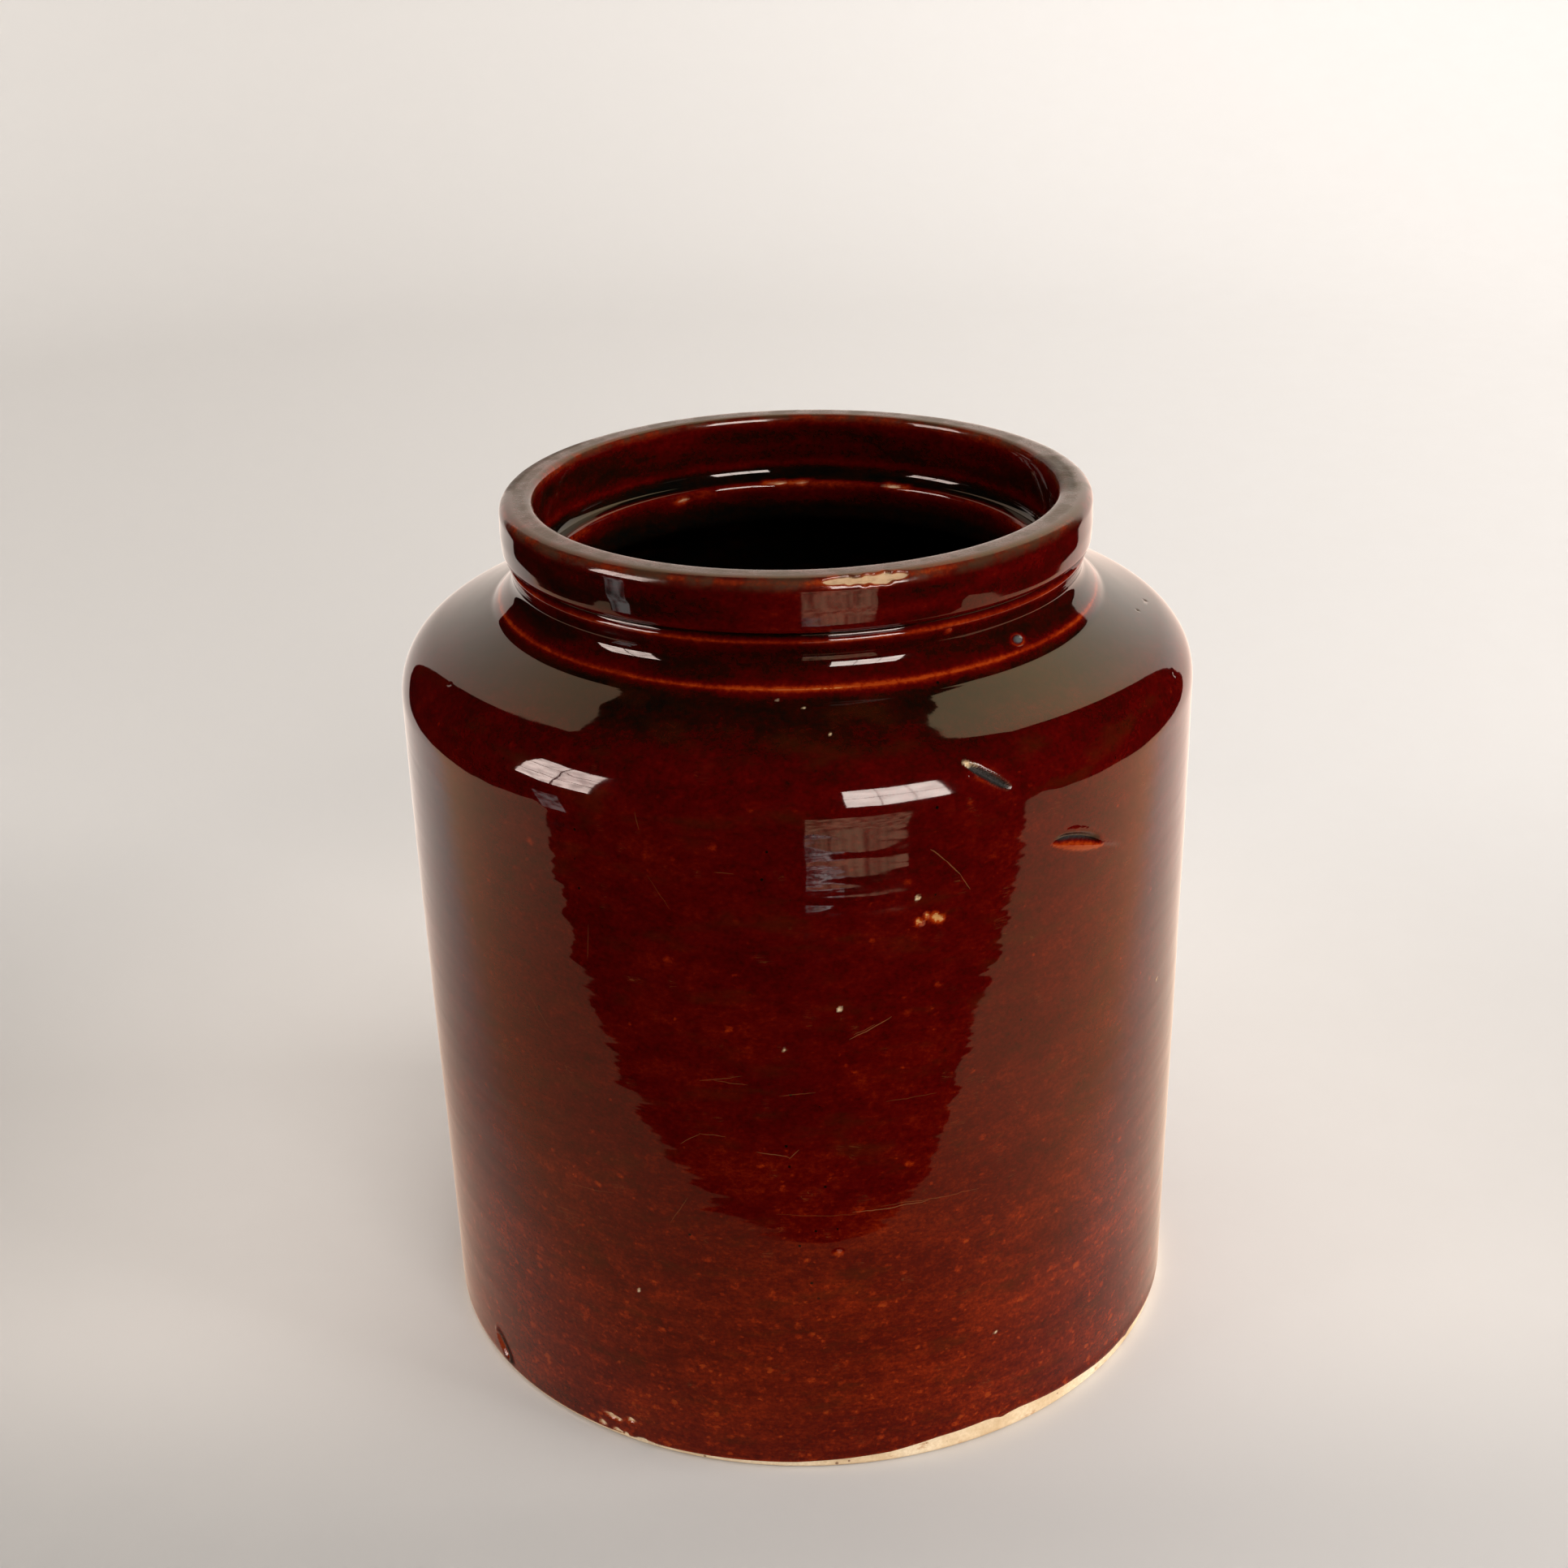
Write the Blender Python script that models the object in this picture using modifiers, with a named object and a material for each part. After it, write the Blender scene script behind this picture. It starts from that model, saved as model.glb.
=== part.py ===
"""Stoneware butter crock: a turned clay jar with a gallery for a lid, and the
brown glaze that is fused over it inside and out. Metres, +Z up, with the
origin at the middle of the flat underside."""

import math

import bpy

MM = 0.001

# Overall
HEIGHT = 200.0 * MM
SEGMENTS = 44

# Outer wall and shoulder
FOOT_RADIUS = 88.15 * MM
FOOT_CHAMFER = 1.0 * MM
BELLY_RADIUS = 89.15 * MM
BELLY_Z = 122.0 * MM
SHOULDER_SLOPE = math.radians(25.0)
SHOULDER_RADIUS = 14.0 * MM
COVE_RADIUS_AT = 68.3 * MM

# Neck and rim
RIDGE_RADIUS = 66.7 * MM
RIDGE_Z = 177.7 * MM
GROOVE_RADIUS = 62.7 * MM
GROOVE_Z = 181.9 * MM
BEAD_RADIUS = 64.1 * MM
BEAD_Z = 186.7 * MM
BAND_BOTTOM_Z = 188.6 * MM
BAND_RADIUS = 65.4 * MM
RIM_OUTER_FILLET = 2.8 * MM
RIM_INNER_FILLET = 1.5 * MM

# Mouth, gallery and lip
MOUTH_RADIUS = 57.6 * MM
GALLERY_Z = 185.3 * MM
LIP_RADIUS = 53.8 * MM
LIP_TOP_Z = 184.1 * MM

# Inside
WALL = 7.3 * MM
SHOULDER_WALL = 7.5 * MM
FLOOR_Z = 9.0 * MM
FLOOR_FILLET = 8.0 * MM
INNER_SHOULDER_FILLET = 8.0 * MM

# Glaze
GLAZE = 0.5 * MM
GLAZE_GAP = 0.1 * MM
GLAZE_LINE_Z = 1.8 * MM


def shoulder_z(radius):
    """Height of the shoulder's straight cone at a radius."""
    top = RIDGE_Z - 1.9 * MM
    return top - (radius - COVE_RADIUS_AT) * math.tan(SHOULDER_SLOPE)


def surface_corners(start_z):
    """The finished surface as corners (radius, z, fillet): up the outside
    from start_z, over the rim and down the inside to the axis."""
    taper = (BELLY_RADIUS - FOOT_RADIUS) / BELLY_Z
    drop = SHOULDER_WALL / math.cos(SHOULDER_SLOPE)
    inner_top = BELLY_RADIUS - WALL
    return [
        (FOOT_RADIUS + taper * start_z, start_z, 0.0),
        (BELLY_RADIUS, BELLY_Z, 0.0),
        (BELLY_RADIUS, shoulder_z(BELLY_RADIUS), SHOULDER_RADIUS),
        (COVE_RADIUS_AT, shoulder_z(COVE_RADIUS_AT), 1.2 * MM),
        (RIDGE_RADIUS, RIDGE_Z, 0.8 * MM),
        (GROOVE_RADIUS, GROOVE_Z, 4.0 * MM),
        (BEAD_RADIUS, BEAD_Z, 0.9 * MM),
        (BEAD_RADIUS - 0.9 * MM, BAND_BOTTOM_Z - 0.7 * MM, 0.0),
        (BAND_RADIUS - 0.3 * MM, BAND_BOTTOM_Z, 0.9 * MM),
        (BAND_RADIUS, BAND_BOTTOM_Z + 4.4 * MM, 0.0),
        (BAND_RADIUS - 0.2 * MM, HEIGHT, RIM_OUTER_FILLET),
        (MOUTH_RADIUS, HEIGHT, RIM_INNER_FILLET),
        (MOUTH_RADIUS - 0.5 * MM, GALLERY_Z, 2.6 * MM),
        (LIP_RADIUS, LIP_TOP_Z, 1.5 * MM),
        (LIP_RADIUS, shoulder_z(LIP_RADIUS) - drop, 3.0 * MM),
        (inner_top, shoulder_z(inner_top) - drop, INNER_SHOULDER_FILLET),
        (FOOT_RADIUS - WALL, FLOOR_Z, FLOOR_FILLET),
        (0.0, FLOOR_Z, 0.0),
    ]


def direction(a, b):
    length = math.hypot(b[0] - a[0], b[1] - a[1])
    return (b[0] - a[0]) / length, (b[1] - a[1]) / length


def inset_corners(corners, depth):
    """The corners moved by depth into the wall, which is on the left of the
    line. A fillet round a centre inside the wall gets smaller, and one round
    a centre in the open gets larger."""
    moved = []
    last = len(corners) - 1
    for i, (r, z, fillet) in enumerate(corners):
        before = direction(corners[max(i - 1, 0)], corners[max(i, 1)])
        after = direction(corners[min(i, last - 1)], corners[min(i + 1, last)])
        n1 = (-before[1], before[0])
        n2 = (-after[1], after[0])
        mitre = 1.0 + n1[0] * n2[0] + n1[1] * n2[1]
        turn = before[0] * after[1] - before[1] * after[0]
        if fillet:
            fillet = max(fillet - math.copysign(depth, turn), 0.0)
        moved.append(
            (
                r + depth * (n1[0] + n2[0]) / mitre,
                z + depth * (n1[1] + n2[1]) / mitre,
                fillet,
            )
        )
    return moved


def rounded(corners):
    """Points (r, z) along the corners, with an arc at each corner that has
    a fillet. Large arcs get a point for about every 17 degrees."""
    points = []
    for i, (r, z, fillet) in enumerate(corners):
        if not fillet:
            points.append((r, z))
            continue
        before = direction(corners[i - 1], (r, z))
        after = direction((r, z), corners[i + 1])
        turn = before[0] * after[1] - before[1] * after[0]
        angle = math.acos(
            max(-1.0, min(1.0, before[0] * after[0] + before[1] * after[1]))
        )
        reach = fillet * math.tan(angle / 2)
        side = math.copysign(1.0, turn)
        start = (r - before[0] * reach, z - before[1] * reach)
        centre = (
            start[0] - side * before[1] * fillet,
            start[1] + side * before[0] * fillet,
        )
        step = math.radians(17.0 if fillet > 5.0 * MM else 50.0)
        count = max(1, round(angle / step))
        for k in range(count + 1):
            a = side * angle * k / count
            x, y = start[0] - centre[0], start[1] - centre[1]
            points.append(
                (
                    centre[0] + x * math.cos(a) - y * math.sin(a),
                    centre[1] + x * math.sin(a) + y * math.cos(a),
                )
            )
    return points


def material(name, colour, roughness):
    made = bpy.data.materials.new(name)
    made.use_nodes = True
    shader = made.node_tree.nodes["Principled BSDF"]
    shader.inputs["Base Color"].default_value = (*colour, 1.0)
    shader.inputs["Roughness"].default_value = roughness
    shader.inputs["Metallic"].default_value = 0.0
    made.diffuse_color = (*colour, 1.0)
    return made


def turned(name, profile, look, collection):
    """A solid of revolution: the profile in the XZ plane runs from the axis
    at the top, down the outer side and back to the axis."""
    mesh = bpy.data.meshes.new(name)
    mesh.from_pydata(
        [(r, 0.0, z) for r, z in profile],
        [(i, i + 1) for i in range(len(profile) - 1)],
        [],
    )
    made = bpy.data.objects.new(name, mesh)
    collection.objects.link(made)
    screw = made.modifiers.new("turn", "SCREW")
    screw.axis = "Z"
    screw.angle = math.tau
    screw.steps = SEGMENTS
    screw.render_steps = SEGMENTS
    screw.use_merge_vertices = True
    screw.merge_threshold = 0.00001
    screw.use_smooth_shade = True
    mesh.materials.append(look)
    return made


def main():
    for obj in list(bpy.data.objects):
        bpy.data.objects.remove(obj, do_unlink=True)
    collection = bpy.data.collections.new("butter_crock")
    bpy.context.scene.collection.children.link(collection)

    # The clay: the finished surface less the glaze, closed by the flat foot.
    clay_surface = rounded(
        inset_corners(surface_corners(FOOT_CHAMFER), GLAZE + GLAZE_GAP)
    )
    foot = [(clay_surface[0][0] - FOOT_CHAMFER, 0.0), (0.0, 0.0)]
    clay = material("cream_stoneware", (0.66, 0.50, 0.31), 0.8)
    turned("stoneware_body", clay_surface[::-1] + foot, clay, collection)

    # The glaze: a coat of one thickness from the foot line to the middle of
    # the floor inside.
    corners = surface_corners(GLAZE_LINE_Z)
    outside = rounded(corners)
    inside = rounded(inset_corners(corners, GLAZE))
    glaze = material("brown_glaze", (0.10, 0.012, 0.004), 0.12)
    turned("glaze_coat", outside[::-1] + inside, glaze, collection)


main()
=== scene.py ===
import math

import bpy
import numpy as np
from mathutils import Matrix, Vector


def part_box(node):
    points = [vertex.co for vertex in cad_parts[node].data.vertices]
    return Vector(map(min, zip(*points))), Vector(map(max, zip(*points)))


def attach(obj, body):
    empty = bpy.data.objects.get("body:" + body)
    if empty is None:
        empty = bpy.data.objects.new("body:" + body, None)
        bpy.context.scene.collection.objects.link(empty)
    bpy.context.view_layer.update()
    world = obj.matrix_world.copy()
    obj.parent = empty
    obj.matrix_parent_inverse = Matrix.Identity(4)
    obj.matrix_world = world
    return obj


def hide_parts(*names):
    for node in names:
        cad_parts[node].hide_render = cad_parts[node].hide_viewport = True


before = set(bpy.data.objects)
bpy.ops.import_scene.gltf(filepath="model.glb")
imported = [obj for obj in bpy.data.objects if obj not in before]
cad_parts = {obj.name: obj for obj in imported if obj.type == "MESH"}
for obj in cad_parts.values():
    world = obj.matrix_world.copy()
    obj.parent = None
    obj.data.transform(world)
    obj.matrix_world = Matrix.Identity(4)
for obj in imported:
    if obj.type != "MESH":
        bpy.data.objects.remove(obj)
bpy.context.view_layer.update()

MM = 0.001
rng = np.random.default_rng(71)

# ---------------------------------------------------------------- the profile
# Corners of the finished surface in mm (radius, height, fillet), sized from
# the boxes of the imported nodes.
coat_lo, coat_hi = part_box("glaze_coat")
body_lo, body_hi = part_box("stoneware_body")
HEIGHT = coat_hi.z / MM
BELLY = coat_hi.x / MM
SKIN = 0.10          # kept clear inside the box for the surface relief
COAT = 0.45          # thickness of the glaze over the clay

sx = BELLY / 89.15
sz = HEIGHT / 200.0
SLOPE = math.tan(math.radians(25.0))


def shoulder_z(r):
    return 175.8 - (r - 68.3) * SLOPE


def surface_corners():
    drop = 7.5 / math.cos(math.radians(25.0))
    return [
        (88.15, 0.0, 0.0),
        (89.15, 122.0, 0.0),
        (89.15, shoulder_z(89.15), 14.0),
        (68.3, shoulder_z(68.3), 2.6),
        (66.6, 177.7, 0.75),
        (62.75, 181.9, 4.0),
        (64.15, 186.6, 0.8),
        (63.1, 187.95, 0.35),
        (65.15, 188.7, 0.8),
        (65.4, 193.0, 0.0),
        (65.2, 200.0, 2.9),
        (57.6, 200.0, 1.5),
        (57.1, 185.3, 2.6),
        (53.8, 184.1, 1.3),
        (53.8, shoulder_z(53.8) - drop, 3.0),
        (81.85, shoulder_z(81.85) - drop, 8.0),
        (80.85, 9.0, 8.0),
        (0.0, 9.0, 0.0),
    ]


def hidden_corners():
    """The buried side of the glaze, 1.3 mm inside the surface and simpler."""
    drop = 7.5 / math.cos(math.radians(25.0))
    return [
        (0.0, 7.7, 0.0),
        (82.15, 7.7, 9.0),
        (83.15, shoulder_z(83.15) - drop + 1.4, 8.0),
        (55.3, shoulder_z(55.3) - drop + 1.4, 2.0),
        (55.3, 183.0, 0.6),
        (58.6, 184.0, 2.0),
        (59.0, 198.5, 1.0),
        (63.9, 198.5, 1.5),
        (63.9, 190.6, 1.0),
        (61.7, 188.2, 0.5),
        (61.4, 182.0, 4.0),
        (65.2, 176.6, 1.0),
        (87.75, shoulder_z(87.75) - 1.5, 13.0),
        (87.75, 122.0, 0.0),
        (86.78, 1.0, 0.0),
    ]


def direction(a, b):
    length = math.hypot(b[0] - a[0], b[1] - a[1])
    return (b[0] - a[0]) / length, (b[1] - a[1]) / length


def rounded(corners, step_deg=4.0):
    points = []
    for i, (r, z, fillet) in enumerate(corners):
        if not fillet:
            points.append((r, z))
            continue
        before = direction(corners[i - 1], (r, z))
        after = direction((r, z), corners[i + 1])
        turn = before[0] * after[1] - before[1] * after[0]
        angle = math.acos(max(-1.0, min(1.0, before[0] * after[0] + before[1] * after[1])))
        reach = fillet * math.tan(angle / 2)
        side = math.copysign(1.0, turn)
        start = (r - before[0] * reach, z - before[1] * reach)
        centre = (start[0] - side * before[1] * fillet, start[1] + side * before[0] * fillet)
        count = max(2, round(angle / math.radians(step_deg)))
        for k in range(count + 1):
            a = side * angle * k / count
            x, y = start[0] - centre[0], start[1] - centre[1]
            points.append((centre[0] + x * math.cos(a) - y * math.sin(a),
                           centre[1] + x * math.sin(a) + y * math.cos(a)))
    return points


class Line:
    """A profile line as a fine table by arc length, with smoothed normals."""

    def __init__(self, points, inset=0.0, soften=0.18):
        p = np.array(points, float)
        p[:, 0] = p[:, 0] * sx
        p[:, 1] *= sz
        step = np.hypot(*(p[1:] - p[:-1]).T)
        keep = np.concatenate([[True], step > 1e-6])
        p = p[keep]
        s = np.concatenate([[0.0], np.cumsum(np.hypot(*(p[1:] - p[:-1]).T))])
        self.length = s[-1]
        self.s = np.arange(0.0, self.length, 0.02)
        self.s = np.append(self.s, self.length)
        r = np.interp(self.s, s, p[:, 0])
        z = np.interp(self.s, s, p[:, 1])
        lo = np.clip(self.s - soften, 0, self.length)
        hi = np.clip(self.s + soften, 0, self.length)
        dr = np.interp(hi, s, p[:, 0]) - np.interp(lo, s, p[:, 0])
        dz = np.interp(hi, s, p[:, 1]) - np.interp(lo, s, p[:, 1])
        n = np.hypot(dr, dz)
        self.nr, self.nz = dz / n, -dr / n
        self.r0, self.z0 = r, z
        self.r = r - self.nr * inset
        self.z = z - self.nz * inset

    def at(self, s):
        return (np.interp(s, self.s, self.r), np.interp(s, self.s, self.z),
                np.interp(s, self.s, self.nr), np.interp(s, self.s, self.nz))

    def near(self, r, z, lo=0.0, hi=1e9):
        d = np.hypot(self.r0 - r, self.z0 - z)
        d[(self.s < lo) | (self.s > hi)] = 1e9
        return float(self.s[np.argmin(d)])

    def rows(self, spacing, start=0.0, end=None):
        """Row places by arc length, with a spacing for each place."""
        end = self.length if end is None else end
        out, s = [start], start
        while s < end:
            s += spacing(*[float(v) for v in self.at(s)[:2]], s)
            out.append(s)
        out = np.array(out)
        return start + (out - start) * (end - start) / (out[-1] - start)


SURF = Line(rounded(surface_corners()), inset=SKIN)
S_RIM = SURF.near(61.4, 200.0)            # top of the rim: below it is outside
S_LIP = SURF.near(53.8, 183.0, lo=S_RIM)


def smooth(a, b, x):
    t = np.clip((x - a) / (b - a), 0.0, 1.0)
    return t * t * (3 - 2 * t)


# ---------------------------------------------------------------- value noise
LATTICE = rng.random((64, 64))


def noise2(u, v, wrap=None):
    """Smooth noise from -1 to 1. With wrap, u repeats after that many cells."""
    iu, iv = np.floor(u).astype(int), np.floor(v).astype(int)
    fu, fv = u - iu, v - iv
    fu, fv = fu * fu * (3 - 2 * fu), fv * fv * (3 - 2 * fv)
    m = wrap or 64
    u0, u1 = (iu % m) % 64, ((iu + 1) % m) % 64
    v0, v1 = iv % 64, (iv + 1) % 64
    a = LATTICE[u0, v0] * (1 - fu) + LATTICE[u1, v0] * fu
    b = LATTICE[u0, v1] * (1 - fu) + LATTICE[u1, v1] * fu
    return (a * (1 - fv) + b * fv) * 2 - 1


def around(phi, cells, v):
    """Noise over the turned surface: phi in degrees, cells round the jar."""
    return noise2(np.mod(phi, 360.0) / 360.0 * cells, v, wrap=cells)


# ---------------------------------------------------------------- the features
# Angles are in degrees from the front (-Y) towards +X, heights in mm.
LINE_PHI = [-180, -150, -120, -90, -70, -58, -45, -34, -25, -12, -2.9, 4, 7.4, 10.9, 14.5,
            18.1, 21.8, 25.8, 27.4, 28.6, 29.8, 31.6, 36.6, 41.6, 46.8, 52, 56, 57.2, 58.4,
            66, 80, 100, 125, 150, 180]
LINE_Z = [2.2, 2.9, 2.3, 1.6, 1.3, 1.2, 1.1, 1.05, 1.15, 1.35, 1.6, 2.2, 2.5, 2.75, 3.5,
          4.1, 4.3, 4.7, 4.5, 3.9, 4.3, 4.5, 4.1, 3.7, 3.2, 3.0, 2.9, 2.4, 3.0,
          2.6, 2.1, 2.6, 3.2, 2.7, 2.2]


def glaze_line(phi):
    base = np.interp((phi + 180) % 360 - 180, LINE_PHI, LINE_Z)
    ragged = 0.16 * around(phi, 56, phi * 0 + 3.3) + 0.09 * around(phi + 3, 60, phi * 0 + 7.7)
    return base + ragged * smooth(1.2, 3.0, base)


def turn_angle(phi, phi0):
    return (phi - phi0 + 180) % 360 - 180


class Mark:
    """A mark on the surface, with distances (mm) along and across it."""

    def __init__(self, phi0, z0, phi1, z1, s=None):
        self.phi0, self.phi1 = phi0, phi1
        s_lo, s_hi = (0.0, S_RIM)
        table = (SURF.s >= s_lo) & (SURF.s <= s_hi)
        self.sa = float(np.interp(z0, SURF.z0[table], SURF.s[table])) if s is None else s[0]
        self.sb = float(np.interp(z1, SURF.z0[table], SURF.s[table])) if s is None else s[1]
        r = float(np.interp((self.sa + self.sb) / 2, SURF.s, SURF.r))
        self.k = math.radians(1.0) * r
        du, dv = (phi1 - phi0) * self.k, self.sb - self.sa
        self.length = math.hypot(du, dv)
        self.t = (du / self.length, dv / self.length)
        self.mid = ((phi0 + phi1) / 2, (self.sa + self.sb) / 2)

    def local(self, phi, s):
        u = turn_angle(phi, self.mid[0]) * self.k
        v = s - self.mid[1]
        return u * self.t[0] + v * self.t[1], -u * self.t[1] + v * self.t[0]

    def near(self, phi, s, margin):
        a, c = self.local(phi, s)
        return (np.abs(a) < self.length / 2 + margin) & (np.abs(c) < margin)


SLIT = Mark(22.0, 166.4, 27.9, 160.3)
EYE = Mark(33.6, 146.4, 44.8, 140.6)
BUBBLE = Mark(42.6, 179.6, 44.9, 179.6)
BUBBLE2 = Mark(27.3, 185.1, 28.7, 185.1)
BLISTER = Mark(-57.9, 9.2, -53.0, 2.3)
LUMP = Mark(3.1, 58.0, 4.6, 58.1)
CHIPS = [Mark(-32.4, 5.7, -29.9, 5.2), Mark(-33.3, 2.5, -32.7, 2.2), Mark(-30.9, 1.9, -29.7, 1.6),
         Mark(-29.0, 1.5, -28.7, 1.4), Mark(-28.2, 6.3, -27.4, 6.2)]
NOTCH = Mark(-26.9, 1.1, -24.6, 0.9)
GOLD = [Mark(17.0, 136.0, 17.9, 135.5), Mark(14.8, 135.5, 15.2, 135.2), Mark(16.0, 136.6, 16.3, 136.5)]
DOTS = [(14.8, 140.7, 0.46), (-25.0, 43.6, 0.36), (27.1, 28.9, 0.34), (4.5, 117.5, 0.50),
        (-2.8, 108.5, 0.32), (-3.9, 176.0, 0.26), (0.5, 175.1, 0.26), (4.4, 172.0, 0.24), (62.0, 96.0, 0.35), (-74.0, 71.0, 0.4), (112.0, 60.0, 0.45),
        (158.0, 104.0, 0.5), (-131.0, 46.0, 0.4), (-102.0, 128.0, 0.35), (137.0, 22.0, 0.4)]
PITS = [(88.7, 171.1, 0.6), (81.7, 172.2, 0.5), (68.4, 165.0, 0.5), (-63.0, 169.0, 0.4),
        (140.0, 150.0, 0.6), (-150.0, 167.0, 0.6), (-118.0, 84.0, 0.5), (97.0, 118.0, 0.5)]

S_RIMCHIP = SURF.near(64.3, 199.2)
RIM_CHIP = Mark(4.6, 0, 19.6, 0, s=(S_RIMCHIP, S_RIMCHIP + 0.01))
S_EDGE_L = SURF.near(63.0, 200.0)
S_EDGE_R = SURF.near(59.5, 200.0)
S_LIPTOP = SURF.near(54.4, 184.0, lo=S_RIM)
LIP_CHIPS = [(-178.0, 5.0, 0.1, 0.14), (153.0, 2.4, 0.1, 0.22), (-149.6, 0.8, 1.8, 0.36),
             (40.0, 2.0, 0.1, 0.2), (-72.0, 1.6, 0.1, 0.22), (100.0, 3.0, 0.1, 0.2)]


def capsule(mark, phi, s, half_width, wobble=0.0, cells=0.9):
    a, c = mark.local(phi, s)
    over = np.maximum(np.abs(a) - mark.length / 2, 0.0)
    d = np.hypot(over, c) - half_width
    if wobble:
        d = d + wobble * noise2(a * cells + 11.3, c * cells + 5.1)
    return d


def bare_distance(phi, s, z):
    """Distance (mm) to the nearest place without glaze; negative inside it."""
    outside = s < S_RIM - 12
    d = np.where(outside & (z < 20), z - glaze_line(phi), 9.0)
    for mark, w in zip(CHIPS, (0.24, 0.30, 0.26, 0.24, 0.20)):
        d = np.minimum(d, capsule(mark, phi, s, w, 0.22, 1.1))
    a, c = RIM_CHIP.local(phi, s)
    half = 0.95 * np.sqrt(np.clip(1 - (a / 8.2) ** 2, 0, 1)) * (1.0 + 0.45 * noise2(a * 0.55 + 2.2, c * 0 + 1.0))
    chip = np.where(np.abs(a) < 8.2, np.abs(c + 0.1) - half, np.hypot(np.abs(a) - 8.2, c))
    chip = chip + 0.40 * noise2(a * 0.8 + 7.7, c * 1.1 + 3.1)
    d = np.minimum(d, chip)
    for phi0, half, ds, w in LIP_CHIPS:
        du = np.maximum(np.abs(turn_angle(phi, phi0)) - half, 0) * 0.94
        dv = s - (S_LIPTOP + ds)
        d = np.minimum(d, np.hypot(du, dv) - w + 0.30 * noise2(turn_angle(phi, phi0) * 0.8 + 4.4, dv * 1.3 + 2.0))
    return d


def relief(phi, s, r, z):
    """Relief of the glaze over the turned surface, in mm along the normal."""
    outside = smooth(S_RIM + 2, S_RIM - 2, s)
    wall = smooth(172, 160, z) * outside
    # Turning ridges from the hand, a shallow spiral round the wall.
    turn = z + np.mod(phi, 360.0) / 360.0 * 7.0
    seam = np.abs(turn_angle(phi, 180.0)) / 180.0
    wrap_fade = smooth(0.0, 0.08, seam)
    h = wall * wrap_fade * (0.020 * noise2(phi * 0 + 3.0 + around(phi, 7, z * 0.02 + 2) * 0.6, turn / 4.6)
                            + 0.012 * noise2(phi * 0 + 9.0 + around(phi, 9, z * 0.03 + 5) * 0.8, turn / 2.6 + 4))
    h = h + wall * (0.030 * noise2(phi * 0 + 14.0, z / 19.0) + 0.045 * around(phi, 9, z / 33.0)
                    + 0.016 * around(phi, 30, z / 4.4) + 0.008 * around(phi, 52, z / 2.5 + 9))
    h = h + (1 - wall) * (0.03 * around(phi, 11, s / 9.0) + 0.012 * around(phi, 48, s / 3.0))
    # Long soft undulations on the shoulder.
    ring = smooth(156, 162, z) * smooth(176, 172, z) * outside
    h = h + ring * 0.05 * around(phi, 8, s / 7.0)

    # The slit in the shoulder, open, with a raised edge.
    a, c = SLIT.local(phi, s)
    half = 0.98 * np.sqrt(np.clip(1 - (np.abs(a) / 5.5) ** 2.2, 0, 1)) * (1 + 0.12 * noise2(a * 0.9, c * 0))
    inside = smooth(half + 0.15, half - 0.75, np.abs(c)) * (half > 0)
    h = h - 1.05 * inside
    lift = np.exp(-((np.abs(c) - half - 0.55) / 0.55) ** 2) * smooth(7.2, 3.5, np.abs(a))
    h = h + 0.09 * lift * (np.abs(c) > half)

    # The burst, half-closed blister under it: a crescent gap over a lens.
    a, c = EYE.local(phi, s)
    body = np.clip(1 - (a / 8.2) ** 2, 0, 1)
    arch = 2.15 * body ** 0.8
    lens = smooth(0.0, 1.0, 1 - (c + 0.45) ** 2 / np.maximum(1.7 * body ** 1.5, 0.05)) * (body > 0)
    h = h + 0.40 * lens * body
    gap = np.exp(-((c - arch * 0.72) / 0.58) ** 2) * smooth(8.0, 3.5, np.abs(a))
    h = h - 0.80 * gap
    brow = np.exp(-((c - arch * 0.72 - 1.25) / 0.6) ** 2) * smooth(7.6, 1.5, np.abs(a))
    h = h + 0.13 * brow
    tail = np.exp(-((c + 0.2 + 0.05 * (a - 8)) / 0.5) ** 2) * smooth(7.0, 9.0, a) * smooth(15.5, 11, a)
    h = h + 0.12 * tail

    # Bubbles in the neck.
    a, c = BUBBLE.local(phi, s)
    d = np.hypot(a / 1.35, c / 0.95)
    h = h + 0.42 * smooth(1.25, 0.15, d) - 0.10 * np.exp(-((d - 1.35) / 0.22) ** 2)
    a, c = BUBBLE2.local(phi, s)
    d = np.hypot(a / 0.9, c / 0.7)
    h = h + 0.22 * smooth(1.3, 0.2, d)

    # The blister at the foot: an oval ring round a flat, broken middle.
    a, c = BLISTER.local(phi, s)
    d = np.hypot(a / 4.2, c / 1.75)
    h = h + 0.50 * np.exp(-((d - 0.95) / 0.20) ** 2) - 0.36 * smooth(0.85, 0.55, d)
    h = h + 0.22 * smooth(0.8, 0.2, np.hypot(a / 4.2, (c - 0.1) / 1.2) * 1.6)

    a, c = LUMP.local(phi, s)
    h = h + 0.28 * smooth(1.3, 0.1, np.hypot(a / 1.1, c / 0.8))
    for mark in GOLD:
        d = capsule(mark, phi, s, 0.6, 0.3)
        h = h - 0.22 * smooth(0.25, -0.4, d)
    for p0, z0, size in PITS:
        sp = np.interp(z0, SURF.z0[SURF.s < S_RIM], SURF.s[SURF.s < S_RIM])
        d = np.hypot(turn_angle(phi, p0) * 1.5, s - sp)
        h = h - 0.30 * smooth(size * 1.2, 0.1, d)
    # A run of glaze on the lower wall.
    h = h + 0.10 * np.exp(-(turn_angle(phi, 31.0) * 1.55 / 0.9) ** 2) * smooth(11, 15, z) * smooth(37, 30, z)

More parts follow.
